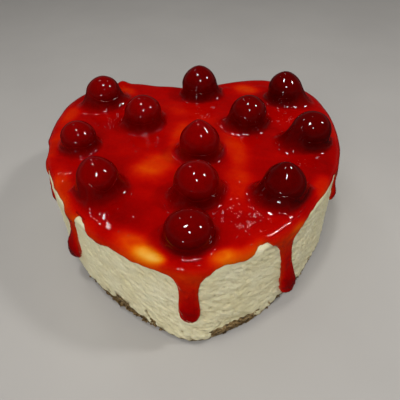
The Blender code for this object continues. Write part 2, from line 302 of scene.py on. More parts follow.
@dataclass(frozen=True)
class Crack:
    """The open crack left of the point: a line that wanders and bends as it runs down the wall."""

    place: float = -30.5
    bend: float = 5.2
    bend_heights: tuple[float, float] = (17.0, 3.0)
    wander: float = 0.5
    half_width: float = 1.0
    top_heights: tuple[float, float] = (19.5, 14.0)
    depth: float = 2.0

    def over(self, s: Array, z: Array) -> Array:
        """Share of the crack at places on the wall.

        Args:
            s: distance along the rim.
            z: height.

        Returns:
            A bell across the crack's middle line, eased to 0 at its upper end.
        """
        wandered = self.wander * Grain(6).at(z / 2.5, z / 9.0)
        middle = self.place + self.bend * smooth_step(*self.bend_heights, z) + wandered
        return np.exp(-(((s - middle) / self.half_width) ** 2)) * smooth_step(*self.top_heights, z)


# The grains of the wall's marks, with cells as tall as given in millimetres.
BROAD_WAVES = RimGrain(1, 26, 16.0)
LUMPS = RimGrain(4, 150, 3.2, climb=128)
DRAGGED_MARKS = RimGrain(2, 140, 1.7, drag=9.0, climb=256)
FINE_GRAIN = RimGrain(3, 330, 1.15, climb=256)
KNIFE_SWIPES = RimGrain(7, 60, 8.0, drag=20.0)
SMALL_HOLES = RimGrain(8, 250, 1.9, climb=128)
ROUGH_PLACES = RimGrain(9, 14, 22.0)


@dataclass(frozen=True)
class CakeForm:
    """Outer form of the cream: flat top, rounded shoulder, and a marked wall that leans out.

    The spread is how much further the foot reaches out round the heart's point. Heights and depths of the
    marks are in millimetres, and what is named a share or a floor belongs to the grains' own -1 to 1.
    """

    rim: HeartRim
    top: float
    shoulder: float = 5.0
    slump: float = 2.6
    slump_power: float = 1.6
    spread: float = 3.7
    spread_place: float = 11.0
    spread_reach: float = 48.0
    broad: float = 0.5
    stroke: float = 0.47
    lump_share: float = 0.8
    drag_share: float = 0.8
    fine_share: float = 0.75
    rough_mean: float = 0.75
    rough_swing: float = 0.45
    swipe: float = 0.7
    swipe_floor: float = 0.35
    hole: float = 1.5
    hole_floor: float = 0.42
    marks_start: tuple[float, float] = (-2.5, 3.0)
    crease: Crease = Crease()
    crack: Crack = Crack()
    pits: tuple[Pit, ...] = ()

    @property
    def quarter(self) -> float:
        """Way round the shoulder."""
        return self.shoulder * math.pi / 2

    def run_at(self, depth: Array) -> Array:
        """Run of a place on the wall or shoulder.

        Args:
            depth: drop below the flat top.

        Returns:
            The arc's length for a drop within the shoulder, and the quarter circle plus the rest below it.
        """
        bend = np.arccos(np.clip(1 - depth / self.shoulder, -1.0, 1.0)) * self.shoulder
        return np.where(depth < self.shoulder, bend, self.quarter + depth - self.shoulder)

    def foot_spread(self, s: Array) -> Array:
        """How much further the foot spreads round the heart's point, as a bell along the rim."""
        away = self.rim.aside(s, self.spread_place)
        return self.spread * np.exp(-((away / self.spread_reach) ** 2))

    def lean(self, s: Array, z: Array) -> Array:
        """How far the wall leans out: the slump and the spread, times a power of (1 - z / top)."""
        rest = 1 - np.clip(z / self.top, 0.0, 1.0)
        return (self.slump + self.foot_spread(s)) * rest**self.slump_power

    def relief(self, s: Array, z: Array) -> Array:
        """Knife strokes, roughness, pits, crack and crease on the wall.

        Args:
            s: distance along the rim.
            z: height.

        Returns:
            How far the surface stands out: stretched grains at four scales, less swipes, holes, pits, crack
            and crease.
        """
        share = self.rim.share(s)
        rougher = self.rough_mean + self.rough_swing * ROUGH_PLACES.at(share, z)
        lumps, drag = LUMPS.at(share, z), DRAGGED_MARKS.at(share, z)
        fine = FINE_GRAIN.at(share, z)
        strokes = self.lump_share * lumps + self.drag_share * drag + self.fine_share * fine
        swipes = np.maximum(KNIFE_SWIPES.at(share, z) - self.swipe_floor, 0.0)
        holes = np.maximum(SMALL_HOLES.at(share, z) - self.hole_floor, 0.0)
        shape = self.broad * BROAD_WAVES.at(share, z) + self.stroke * rougher * strokes
        shape = shape - self.swipe * swipes - self.hole * rougher * holes
        for pit in self.pits:
            across, up = (s - pit.along) / pit.wide, (z - pit.height) / pit.tall
            shape -= pit.deep * np.exp(-(across**2) - up**2)
        return shape - self.crack.depth * self.crack.over(s, z) - self.crease.depth * self.crease.over(s, z)

    def point(self, s: Array, run: Array, offset: Array) -> Array:
        """Places over the surface.

        Args:
            s: distance along the rim.
            run: way over the shoulder and down the wall.
            offset: distance off the surface.

        Returns:
            Points on the shoulder's circle grown by the offset, then on the wall, moved out by lean and
            relief.
        """
        turn = np.clip(run, 0.0, self.quarter) / self.shoulder
        down = np.maximum(run - self.quarter, 0.0)
        wall = self.top - self.shoulder - down
        marked = self.relief(s, wall) * smooth_step(*self.marks_start, run - self.quarter)
        marked = marked + self.lean(s, wall) * np.sin(turn) ** 2
        out = -self.shoulder + np.minimum(run, 0.0) + (self.shoulder + offset) * np.sin(turn) + marked
        z = wall + (self.shoulder + offset) * np.cos(turn)
        return self.rim.raised(s, out, z)


class Fold(Enum):
    """How the rings of a surface end."""

    CAPPED = "closed by a fan at each end"
    RING = "the last ring joins the first"


def surface_piece(
    name: str, rings: Array, fold: Fold, values: dict[str, Array] | None = None
) -> bpy.types.Object:
    """A closed, smooth mesh of rings whose points join all the way round.

    Args:
        name: the piece's name.
        rings: points in millimetres, with rings in the first axis and places round in the second.
        fold: how the rings end.
        values: one number for each point of the rings, for the finish to read.

    Returns:
        The new object at the origin, with its faces outwards.
    """
    count, around = rings.shape[:2]
    points = rings.reshape(-1, 3)
    ring = np.arange(count - 1 if fold is Fold.CAPPED else count)[:, None] * around
    step = np.arange(around)[None, :]
    after = (step + 1) % around
    above = (ring + around) % (count * around)
    quads = np.stack([ring + step, ring + after, above + after, above + step], axis=-1).reshape(-1, 4)
    fans = np.zeros((0, 3), int)
    if fold is Fold.CAPPED:
        points = np.concatenate([points, rings[0].mean(0)[None], rings[-1].mean(0)[None]])
        hub = count * around
        last = (count - 1) * around
        first_fan = np.stack([np.full(around, hub), after[0], step[0]], axis=-1)
        last_fan = np.stack([np.full(around, hub + 1), last + step[0], last + after[0]], axis=-1)
        fans = np.concatenate([first_fan, last_fan])
    loose = np.concatenate([quads[:, [0, 1, 2]], quads[:, [0, 2, 3]], fans])
    corners = points[loose]
    volume = np.einsum("ij,ij->i", corners[:, 0], np.cross(corners[:, 1], corners[:, 2])).sum()
    if volume < 0:
        quads, fans = quads[:, ::-1], fans[:, ::-1]
    made = mesh_object(name, points, quads, fans)
    for key, value in (values or {}).items():
        flat = value.reshape(-1)
        if fold is Fold.CAPPED:
            flat = np.concatenate([flat, [value[0].mean(), value[-1].mean()]])
        layer = made.data.attributes.new(key, "FLOAT", "POINT")
        layer.data.foreach_set("value", flat.astype(np.float32))
    return made


def mesh_object(name: str, points: Array, quads: Array, triangles: Array) -> bpy.types.Object:
    """An object from arrays of points in millimetres and of faces.

    Args:
        name: the object's name.
        points: one row for each vertex.
        quads: four vertex numbers for each face.
        triangles: three vertex numbers for each face.

    Returns:
        The new object, linked to the scene and shaded smooth.
    """
    mesh = bpy.data.meshes.new(name)
    mesh.vertices.add(len(points))
    mesh.vertices.foreach_set("co", (points * MM).astype(np.float32).ravel())
    corners = np.concatenate([quads.ravel(), triangles.ravel()]).astype(np.int32)
    sizes = np.concatenate([np.full(len(quads), 4), np.full(len(triangles), 3)])
    mesh.loops.add(len(corners))
    mesh.loops.foreach_set("vertex_index", corners)
    mesh.polygons.add(len(sizes))
    mesh.polygons.foreach_set("loop_start", (np.cumsum(sizes) - sizes).astype(np.int32))
    mesh.update(calc_edges=True)
    mesh.validate()
    mesh.shade_smooth()
    made = bpy.data.objects.new(name, mesh)
    bpy.context.scene.collection.objects.link(made)
    return made


class Wire:
    """A shader socket, with operators that add Math nodes."""

    def __init__(self, nodes: "Nodes", socket: bpy.types.NodeSocket) -> None:
        """Keeps the nodes it belongs to and the socket it wraps."""
        self.nodes = nodes
        self.socket = socket

    def _math(self, operation: str, first: "Wire | float", second: "Wire | float") -> "Wire":
        """One Math node."""
        return self.nodes.node("ShaderNodeMath", {"operation": operation}, {0: first, 1: second})

    def __add__(self, other: "Wire | float") -> "Wire":
        """Sum."""
        return self._math("ADD", self, other)

    __radd__ = __add__

    def __sub__(self, other: "Wire | float") -> "Wire":
        """Difference."""
        return self._math("SUBTRACT", self, other)

    def __rsub__(self, other: "Wire | float") -> "Wire":
        """Difference from a number."""
        return self._math("SUBTRACT", other, self)

    def __mul__(self, other: "Wire | float") -> "Wire":
        """Product."""
        return self._math("MULTIPLY", self, other)

    __rmul__ = __mul__

    def __rpow__(self, base: float) -> "Wire":
        """A number raised to this value."""
        return self._math("POWER", base, self)


class Nodes:
    """The nodes of one tree, all of them added by one method."""

    def __init__(self, tree: bpy.types.NodeTree) -> None:
        """Keeps the tree that the nodes go into."""
        self.tree = tree

    def node(self, kind: str, settings: dict, sockets: dict, output: int | str = 0) -> Wire:
        """Adds a node.

        Args:
            kind: the node's type.
            settings: its properties, set before its sockets; a list of ramp stops goes under "stops".
            sockets: a value or a wire for each named or numbered socket.
            output: the output to hand back.

        Returns:
            The output as a wire.
        """
        made = self.tree.nodes.new(kind)
        for key, value in settings.items():
            if key == "stops":
                self.stops(made.color_ramp, value)
            else:
                setattr(made, key, value)
        for key, value in sockets.items():
            self.feed(made.inputs[key], value)
        return Wire(self, made.outputs[output])

    def feed(self, socket: bpy.types.NodeSocket, value: object) -> None:
        """Links a wire to a socket, or sets its value.

        Args:
            socket: the socket to feed.
            value: a wire, or a number or colour.
        """
        if isinstance(value, Wire):
            self.tree.links.new(value.socket, socket)
        else:
            socket.default_value = value

    @staticmethod
    def stops(ramp: bpy.types.ColorRamp, stops: tuple[tuple[float, tuple], ...]) -> None:
        """Sets a ramp's stops.

        Args:
            ramp: the ramp to set.
            stops: the place and colour of each stop.
        """
        while len(ramp.elements) < len(stops):
            ramp.elements.new(1.0)
        for element, (place, colour) in zip(ramp.elements, stops):
            element.position = place
            element.color = (*colour, 1.0)


class Shader(Nodes):
    """A material built node by node round one Principled shader."""

    def __init__(self, name: str) -> None:
        """Makes the material and finds its shader.

        Args:
            name: the material's name.
        """
        self.material = bpy.data.materials.new(name)
        self.material.use_nodes = True
        super().__init__(self.material.node_tree)
        self.surface = self.tree.nodes["Principled BSDF"]

    def set(self, **sockets: object) -> None:
        """Feeds the surface's own sockets, with spaces as underscores in their names."""
        for key, value in sockets.items():
            self.feed(self.surface.inputs[key.replace("_", " ")], value)

    def value(self, name: str) -> Wire:
        """A number kept on the mesh's points."""
        return self.node("ShaderNodeAttribute", {"attribute_name": name}, {}, "Fac")

    def noise(self, scale: float, detail: float = 3.0, rough: float = 0.5) -> Wire:
        """Noise between 0 and 1 on Object coordinates.

        Args:
            scale: cells a metre.
            detail: how many finer noises are added.
            rough: how strong each finer noise is.

        Returns:
            The noise as a wire.
        """
        place = self.node("ShaderNodeTexCoord", {}, {}, "Object")
        sockets = {"Vector": place, "Scale": scale, "Detail": detail, "Roughness": rough}
        return self.node("ShaderNodeTexNoise", {}, sockets, "Fac")

    def ramp(self, value: Wire, stops: list[tuple[float, tuple]]) -> Wire:
        """Colours read along a value."""
        return self.node("ShaderNodeValToRGB", {"stops": stops}, {"Fac": value}, "Color")

    def limits(self, value: Wire, low: float, high: float) -> Wire:
        """Share of the way from low to high, clipped."""
        sockets = {"Value": value, "From Min": low, "From Max": high}
        return self.node("ShaderNodeMapRange", {"clamp": True}, sockets, "Result")

    def mix(self, share: Wire | float, first: Wire | tuple, second: Wire | tuple) -> Wire:
        """Mix of two colours, by the Mix node's sockets for colours."""
        sockets = {"Factor": share, MIX_FIRST: first, MIX_SECOND: second}
        return self.node("ShaderNodeMix", {"data_type": "RGBA"}, sockets, MIX_RESULT)

    def colour(self, red: Wire, green: Wire, blue: Wire) -> Wire:
        """A colour from three numbers."""
        return self.node("ShaderNodeCombineColor", {}, {0: red, 1: green, 2: blue})

    def bump(self, height: Wire, distance: float, strength: float = 1.0) -> Wire:
        """A normal tilted by a height in metres."""
        sockets = {"Height": height, "Distance": distance, "Strength": strength}
        return self.node("ShaderNodeBump", {}, sockets, "Normal")


@dataclass(frozen=True)
class GelFinish:
    """Clear red gel over a pale ground: the deeper the gel, the less light of each colour comes back.

    Noises have so many cells a metre, and the ripple is the height of the gel's waves in metres.
    """

    name: str
    ground: Colour
    absorb: Colour = (0.55, 4.4, 13.9)
    clear: float = 0.75
    cloud: float = 0.34
    cloud_cells: float = 95.0
    speck: float = 0.16
    speck_cells: float = 380.0
    roughness: float = 0.028
    ior: float = 1.4
    shine: float = 0.42
    ripple: float = 0.0007
    waves: float = 110.0
    fine: float = 0.25
    fine_ratio: float = 3
    detail: float = 2.0

    def material(self) -> bpy.types.Material:
        """The finish as a material, with the gel's depth kept on the points.

        Returns:
            A material whose colour is ground x exp(-absorb x depth).
        """
        shader = Shader(self.name)
        cloud = shader.noise(self.cloud_cells, 4.0, 0.6) * self.cloud
        cloud = cloud + shader.noise(self.speck_cells, 3.0) * self.speck
        depth = shader.value("depth") * (cloud + self.clear)
        channels = [ground * math.e ** (depth * -rate) for ground, rate in zip(self.ground, self.absorb)]
        small = shader.noise(self.fine_ratio * self.waves, self.detail) * self.fine
        wave = shader.noise(self.waves, self.detail) + small
        shader.set(
            Base_Color=shader.colour(*channels),
            Roughness=self.roughness,
            IOR=self.ior,
            Specular_IOR_Level=self.shine,
            Normal=shader.bump(wave, self.ripple),
        )
        return shader.material


CRUMB_CELLS = 430.0
CRUMB_BROWNS = [
    (0.34, (0.022, 0.012, 0.004)),
    (0.44, (0.082, 0.045, 0.014)),
    (0.54, (0.22, 0.135, 0.048)),
    (0.68, (0.46, 0.32, 0.15)),
]


def crumb_specks(shader: Shader) -> Wire:
    """The noise that the crumb's browns are read along."""
    return shader.noise(CRUMB_CELLS, 5.0, 0.72)


@dataclass(frozen=True)
class CreamFinish:
    """Set cream cheese: pale, softly lit from within, finely grained, and stained by crumb, with painted
    shade in its crack.

    Noises have so many cells a metre, and the relief and the glow's depth are in metres.
    """

    name: str = "cream_cheese"
    pale: Colour = (0.83, 0.775, 0.53)
    deep: Colour = (0.77, 0.69, 0.41)
    shade: Colour = (0.50, 0.43, 0.24)
    cloud_cells: float = 60.0
    speckle_cells: float = 900.0
    grain_cells: float = 1400.0
    lump_cells: float = 420.0
    grain: float = 0.6
    relief: float = 0.0006
    roughness: float = 0.62
    ior: float = 1.4
    glow: float = 0.10
    glow_reach: Colour = (1.0, 0.7, 0.4)
    glow_depth: float = 0.001

    def dress(self, piece: bpy.types.Object) -> None:
        """Gives a piece the finish.

        Args:
            piece: the piece, whose points hold the crumb's stain with painted shade in the crack, and the
                shade of its hollows.
        """
        shader = Shader(self.name)
        cloudy = shader.limits(shader.noise(self.cloud_cells, 4.0, 0.6), 0.3, 0.7)
        smooth = shader.mix(cloudy, (*self.pale, 1.0), (*self.deep, 1.0))
        cream = shader.mix(shader.value("hollow"), smooth, (*self.shade, 1.0))
        speckle = shader.limits(shader.noise(self.speckle_cells, 3.0, 0.7), 0.25, 0.75)
        # Crumb colour at the foot, a faint darkening low on the wall, and painted shade in the crack.
        crumb_and_shade = shader.limits(shader.value("crumb_and_shade") * (speckle * 0.9 + 0.55), 0.15, 0.95)
        lumps = shader.noise(self.lump_cells, 3.0, 0.6)
        grain = shader.noise(self.grain_cells, 3.0, 0.6) * self.grain + lumps
        shader.set(
            Base_Color=shader.mix(crumb_and_shade, cream, shader.ramp(crumb_specks(shader), CRUMB_BROWNS)),
            Roughness=self.roughness,
            IOR=self.ior,
            Subsurface_Weight=self.glow,
            Subsurface_Radius=self.glow_reach,
            Subsurface_Scale=self.glow_depth,
            Normal=shader.bump(grain, self.relief),
        )
        piece.data.materials.append(shader.material)


@dataclass(frozen=True)
class CrumbFinish:
    """Pressed biscuit crumb: brown, with dark and pale specks and a dry, rough surface."""

    name: str = "biscuit_crumb"
    grain_cells: float = 1800.0
    grain: float = 0.5
    relief: float = 0.0008
    roughness: float = 0.85

    def dress(self, piece: bpy.types.Object) -> None:
        """Gives a piece the finish.

        Args:
            piece: the piece of biscuit.
        """
        shader = Shader(self.name)
        specks = crumb_specks(shader)
        grain = specks + shader.noise(self.grain_cells, 3.0, 0.7) * self.grain
        shader.set(
            Base_Color=shader.ramp(specks, CRUMB_BROWNS),
            Roughness=self.roughness,
            Normal=shader.bump(grain, self.relief),
        )
        piece.data.materials.append(shader.material)


@dataclass(frozen=True)
class FloorFinish:
    """Pale matt floor, a little cloudy."""

    name: str = "pale_floor"
    dark: Colour = (0.40, 0.38, 0.355)
    light: Colour = (0.44, 0.42, 0.39)
    cloud_cells: float = 9.0
    roughness: float = 0.7

    def dress(self, piece: bpy.types.Object) -> None:
        """Gives a piece the finish.

        Args:
            piece: the floor.
        """
        shader = Shader(self.name)
        shade = shader.limits(shader.noise(self.cloud_cells, 3.0), 0.2, 0.8)
        shader.set(
            Base_Color=shader.mix(shade, (*self.dark, 1.0), (*self.light, 1.0)),
            Roughness=self.roughness,
        )
        piece.data.materials.append(shader.material)


@dataclass(frozen=True)
class Patch:
    """A place where the gel is thin: centre, two half-widths, bearing in degrees and share taken off.

    A share below 0 makes the gel deeper there.
    """

    x: float
    y: float
    long: float
    wide: float
    bearing: float
    taken: float
    edge: tuple[float, float] = (0.35, 1.35)

    def over(self, x: Array, y: Array) -> Array:
        """Share of the gel left at places in plan.

        Args:
            x: places across.
            y: places along.

        Returns:
            1 less the share taken off inside a turned ellipse, eased over its soft edge.
        """
        turn = math.radians(self.bearing)
        ahead = (x - self.x) * math.cos(turn) + (y - self.y) * math.sin(turn)
        aside = (y - self.y) * math.cos(turn) - (x - self.x) * math.sin(turn)
        reach = np.hypot(ahead / self.long, aside / self.wide)
        return 1 - self.taken * (1 - smooth_step(*self.edge, reach))


PATCHES = (
    Patch(-23, -17, 20, 13, 35, 0.54),
    Patch(-10, 10, 22, 7, 78, 0.44),
    Patch(27, 0, 24, 10, 98, 0.53),
    Patch(25, -37, 22, 12, 88, 0.44),
    Patch(2, 26, 40, 14, 5, 0.28),
    Patch(-12, 50, 30, 14, 8, 0.26),
    Patch(-29, -81, 17, 8, -34, 0.62),
    Patch(-22.0, -87.0, 10, 4.6, -27, 0.80),
    Patch(-18.5, -88.8, 6.0, 2.5, -22, 0.90),
    Patch(13.5, -89.5, 10, 5, 18, 0.80),
    Patch(27, -88, 13, 5, 34, 0.50),
    Patch(58, -71, 9, 4, 48, 0.75),
    Patch(74.5, -42.0, 12, 6.5, 60, 0.50),
    Patch(80, -25, 15, 9, 70, -0.25),
    Patch(-77, -36, 22, 8, 113, 0.56),
    Patch(-63, -59.5, 9, 5, -52, 0.18),
    Patch(-93, 10.5, 22, 6, 93, 0.42),
    Patch(-90, 48, 18, 7, 72, 0.45),
    Patch(-53, 79.5, 11, 7, -30, 0.55),
    Patch(43, 76.5, 13, 10, -15, 0.52),
    Patch(96, 18.5, 14, 4, 88, 0.32),
    Patch(-45, -52, 26, 15, -35, -0.32),
    Patch(62, -20, 40, 26, 80, -0.10),
    Patch(-66, 30, 24, 20, 60, -0.10),
)


@dataclass(frozen=True)
class Swell:
    """A place where the gel stands up in a round heap: centre, reach and height."""

    x: float
    y: float
    reach: float
    height: float

    def over(self, x: Array, y: Array) -> Array:
        """Height of the heap at places in plan, as a bell."""
        return self.height * np.exp(-((x - self.x) ** 2 + (y - self.y) ** 2) / self.reach**2)


SWELLS = (
    Swell(-16, 87, 12, 1.8),
    Swell(25, 88, 12, 1.4),
    Swell(-58, 92, 4.5, 3.6),
    Swell(27, 75, 4.0, 1.1),
    Swell(-62, -46, 4.0, 0.35),
    Swell(21, -79, 4.5, 0.7),
    Swell(35, -76, 4.5, 0.7),
    Swell(9, -80, 3.0, 0.3),
    Swell(-6, -62, 6, 0.5),
)


@dataclass(frozen=True)
class Cherry:
    """A glazed cherry on the cake, whose place and size come from its node.

    The peak, the skirt's hollow radius, the lean and the dents are in millimetres. Each lobe of the skirt is
    its bearing in degrees and how much further it reaches. The dark is the cherry's optical depth, and the
    fade is how far its darkness spreads into the skirt.
    """

    node: str
    peak: float = 0.0
    skirt: float = 4.0
    lobes: tuple[tuple[float, float], ...] = ()
    dark: float = 3.0
    lean: tuple[float, float] = (0.0, 0.0)
    seed: int = 1
    columns: int = 96
    fade: float = 1.0
    rows: int = 58
    polar_ends: tuple[float, float] = (0.02, math.pi * 0.93)
    foot_share: float = 0.46
    round_share: float = 0.985
    peak_width: float = 0.48
    dent: float = 0.5
    dents_round: int = 6
    dents_down: float = 1.7
    coat_depth: float = 0.25
    # Extra depth low on the ball: deeper gel at its foot and painted shade on its lower side.
    foot_gel_and_shade: float = 0.85
    lobe_width: float = 0.7
    skirt_wave: float = 0.10

    def box(self) -> tuple[Array, Array]:
        """Lowest and highest corner of the node in millimetres."""
        low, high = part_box(self.node)
        return np.array(low) / MM, np.array(high) / MM

    @property
    def centre(self) -> Array:
        """Plan place of the cherry's belly."""
        low, high = self.box()
        return (low[:2] + high[:2]) / 2

    @property
    def radius(self) -> float:
        """Largest half-width."""
        low, high = self.box()
        return float(max(high[0] - low[0], high[1] - low[1])) / 2

    @property
    def tall(self) -> float:
        """Height of the cherry without its peak."""
        low, high = self.box()
        return float(high[2] - low[2]) - self.peak

    @property
    def rise(self) -> float:
        """Half-height from the belly to a round top."""
        return self.tall * (1 - self.foot_share)

    @property
    def belly(self) -> float:
        """Height of the widest place."""
        return float(self.box()[0][2]) + self.tall * self.foot_share

    def plan_radius(self, bearing: Array) -> Array:
        """Half-width by bearing: a slightly uneven round, by two waves of about a percent."""
        uneven = 0.014 * np.cos(2 * bearing + self.seed) + 0.010 * np.cos(3 * bearing + 2.3 * self.seed)
        return self.radius * (self.round_share + uneven)

    def bearings(self) -> Array:
        """Bearings of the columns."""
        return TURN * np.arange(self.columns) / self.columns

    def depth(self, z: Array) -> Array:
        """Optical depth of the cherry under its coat by height: darker towards the foot, from deeper gel and
        painted shade.
        """
        low = smooth_step(self.belly + 9.0, self.belly - 3.0, z)
        # Darker low on the ball: deeper gel at its foot, and painted shade on its lower side.
        return self.dark + self.coat_depth + self.foot_gel_and_shade * low

    def surface(self, polar: Array, bearing: Array) -> Array:
        """Places on the ball: an upright ellipsoid, drawn up to a peak and flat at its foot.

        Args:
            polar: angle from the top.
            bearing: bearing in plan.

        Returns:
            Points whose top leans and bears shallow dents, which fade out towards the belly.
        """
        upper = smooth_step(math.pi / 2, math.pi / 5, polar)
        round_way = bearing / TURN * self.dents_round + 0 * polar
        down = polar * self.dents_down + 0 * bearing
        dents = Grain(40 + self.seed, self.dents_round, 16).at(round_way, down)
        uneven = self.dent * dents * np.sin(polar) * upper
        out = self.plan_radius(bearing) * np.sin(polar) + uneven
        above = polar < math.pi / 2
        lift = self.peak * np.exp(-((np.sin(polar) / self.peak_width) ** 2)) * above
        z = np.maximum(self.belly + self.rise * np.cos(polar) + lift + 0 * bearing, self.box()[0][2])
        tilt = np.cos(polar) * above * upper
        x = self.centre[0] + out * np.cos(bearing) + self.lean[0] * tilt
        y = self.centre[1] + out * np.sin(bearing) + self.lean[1] * tilt
        return np.stack([x, y, z], axis=-1)

    def ball(self) -> bpy.types.Object:
        """The cherry under its coat.

        Returns:
            Rings from the top down, with the cherry's optical depth on their points.
        """
        polar = np.linspace(*self.polar_ends, self.rows)[:, None]
        rings = self.surface(polar, self.bearings()[None, :])
        name = self.node.replace("cherry", "glazed_cherry")
        return surface_piece(name, rings, Fold.CAPPED, {"depth": self.depth(rings[..., 2])})

    def lobe_size(self, bearing: Array) -> Array:
        """How far the skirt's lobes reach past its base.

        Args:
            bearing: bearings in plan.

        Returns:
            One bell for each lobe, summed, at each bearing.
        """
        size = np.zeros_like(bearing)
        for towards, extra in self.lobes:
            turned = np.angle(np.exp(1j * (bearing - math.radians(towards))))
            size = size + extra * np.exp(-((turned / self.lobe_width) ** 2))
        return size

    def skirt_radius(self, bearing: Array) -> Array:
        """Radius of the hollow curve of the skirt by bearing: a base plus the lobes, made wavy."""
        wavy = 1 + self.skirt_wave * np.cos(5 * bearing + self.seed)
        return (self.skirt + self.lobe_size(bearing)) * wavy


CHERRIES = (
    Cherry("cherry_01", 0.0, 6.0, ((215, 6.0), (20, 5.0)), 2.75, (1.0, 0.0), 1),
    Cherry("cherry_02", 0.8, 5.0, ((180, 4.0), (60, 3.0)), 2.6, (0.4, -0.4), 2),
    Cherry("cherry_03", 1.4, 4.5, ((350, 5.0),), 3.5, (0.2, 0.2), 3),
    Cherry("cherry_04", 1.2, 5.0, ((330, 10.0),), 3.9, (-0.8, 0.4), 4),
    Cherry("cherry_05", 1.2, 5.0, ((190, 5.0), (30, 3.0)), 3.4, (0.3, 0.2), 5),
    Cherry("cherry_06", 0.0, 5.0, ((195, 12.0),), 3.9, (1.2, 0.6), 6),
    Cherry("cherry_07", 0.4, 4.5, ((150, 4.0), (260, 2.0)), 2.6, (-0.4, 0.4), 7),
    Cherry("cherry_08", 1.6, 5.0, ((235, 11.0), (350, 4.0)), 2.7, (-0.6, 0.8), 8),
    Cherry("cherry_09", 3.2, 4.5, ((150, 4.0), (20, 3.0)), 2.5, (-0.3, 0.6), 9),
    Cherry("cherry_10", 0.6, 4.5, ((215, 5.0), (10, 4.0)), 2.7, (-0.6, 0.4), 10),
    Cherry("cherry_11", 3.0, 5.5, ((270, 4.0), (185, 6.0), (350, 5.0)), 3.9, (0.2, 0.8), 11),
    Cherry("cherry_12", 0.0, 5.0, ((90, 4.0),), 3.2, (-0.4, -0.2), 12, fade=0.5),
)


@dataclass(frozen=True)
class Drip:
    """One drip of glaze.

    Its place along the rim, width, drop below the top, lean of its end and bulge are in millimetres.
    The neck, the flare at its root and the bulb at its end are shares of half its width.
    """

    place: float
    width: float
    drop: float
    lean: float
    bulge: float
    neck: float = 0.72
    flare: float = 0.6
    bulb: float = 0.26
    bulb_reach: float = 0.95
    bulge_reach: float = 0.55


DRIPS = (
    Drip(-3.5, 11.5, 45, 0.0, 2.2, 0.80, 0.75, 0.20),
    Drip(56.0, 13.5, 60, 5.8, 3.2, 0.62, 0.72, 0.44),
    Drip(-84.5, 13.8, 48, -7.5, 4.0, 0.30, 0.50, 0.84),
    Drip(-137, 10.0, 36, 0.0, 2.2, 0.55, 0.6, 0.42),
    Drip(128, 9.5, 33, 0.0, 2.0, 0.6, 0.6, 0.36),
    Drip(-194, 10.5, 38, 1.5, 1.8),
    Drip(-246, 9.5, 25, -1.0, 1.6),
    Drip(-289, 10.0, 45, 0.5, 2.0),
    Drip(204, 10.0, 27, -1.0, 1.8),
    Drip(252, 11.0, 47, 1.5, 2.0),
    Drip(297, 9.5, 30, 0.0, 1.8),
)

# How far down the glaze's edge hangs between the drips: distance along the rim, drop below the top.
GLAZE_REACH = [
    (-324, 8.0), (-300, 6.0), (-280, 8.5), (-255, 5.5), (-232, 9.0), (-205, 6.0), (-182, 8.0), (-166, 4.5),
    (-154, 1.8), (-140, 1.6), (-125, 1.7), (-108, 1.7), (-97, 1.9), (-88, 3.0), (-81, 1.8), (-76, 0.5),
    (-70, 1.6), (-64, 6.4), (-57, 7.2), (-50, 5.0), (-42, 5.2), (-30, 6.2), (-20, 6.4), (-13, 7.0),
    (6, 6.0), (11, 3.0), (16, 2.4), (22, 3.8), (27, 5.2), (31, 4.4), (37.5, 1.0), (41.5, 0.9), (47.5, 6.0),
    (56, 9.0), (66, 7.5), (71, 4.0), (79, 1.9), (88, 1.4), (98, 1.8), (112, 2.2), (122, 4.0), (134, 5.0),
    (150, 8.5), (170, 7.0), (192, 9.5), (215, 5.5), (240, 9.0), (262, 6.0), (286, 9.0), (306, 6.5),
]


@dataclass(frozen=True)
class SkirtShape:
    """Sizes that the skirts of gel round the cherries share.

    They are in millimetres, but for the climbs and the leave step, which are angles in radians, and the
    powers and shares.
    """

    touch: float = 0.1
    spare_room: float = 3.5
    least_hollow: float = 0.8
    least_foot: float = 1.4
    lobe_climb: float = 0.045
    climbs: tuple[float, float] = (-0.06, 0.95)
    leave_step: float = 0.04
    arrive_step: float = 0.8
    pull: float = 0.38
    rows: int = 26
    row_power: float = 0.8
    soft_share: float = 0.42
    soft_least: float = 0.8
    dark_start: float = 0.3
    dark_power: float = 1.4
    dark_end: tuple[float, float] = (0.6, 1.0)
    tuck: float = 1.2
    tuck_sunk: float = 0.5
    foot_sunk: float = 1.1
    foot_under_tuck: float = 0.6
    core_share: float = 0.70
    core_sunk: float = 1.2
    core_below_start: float = 0.8


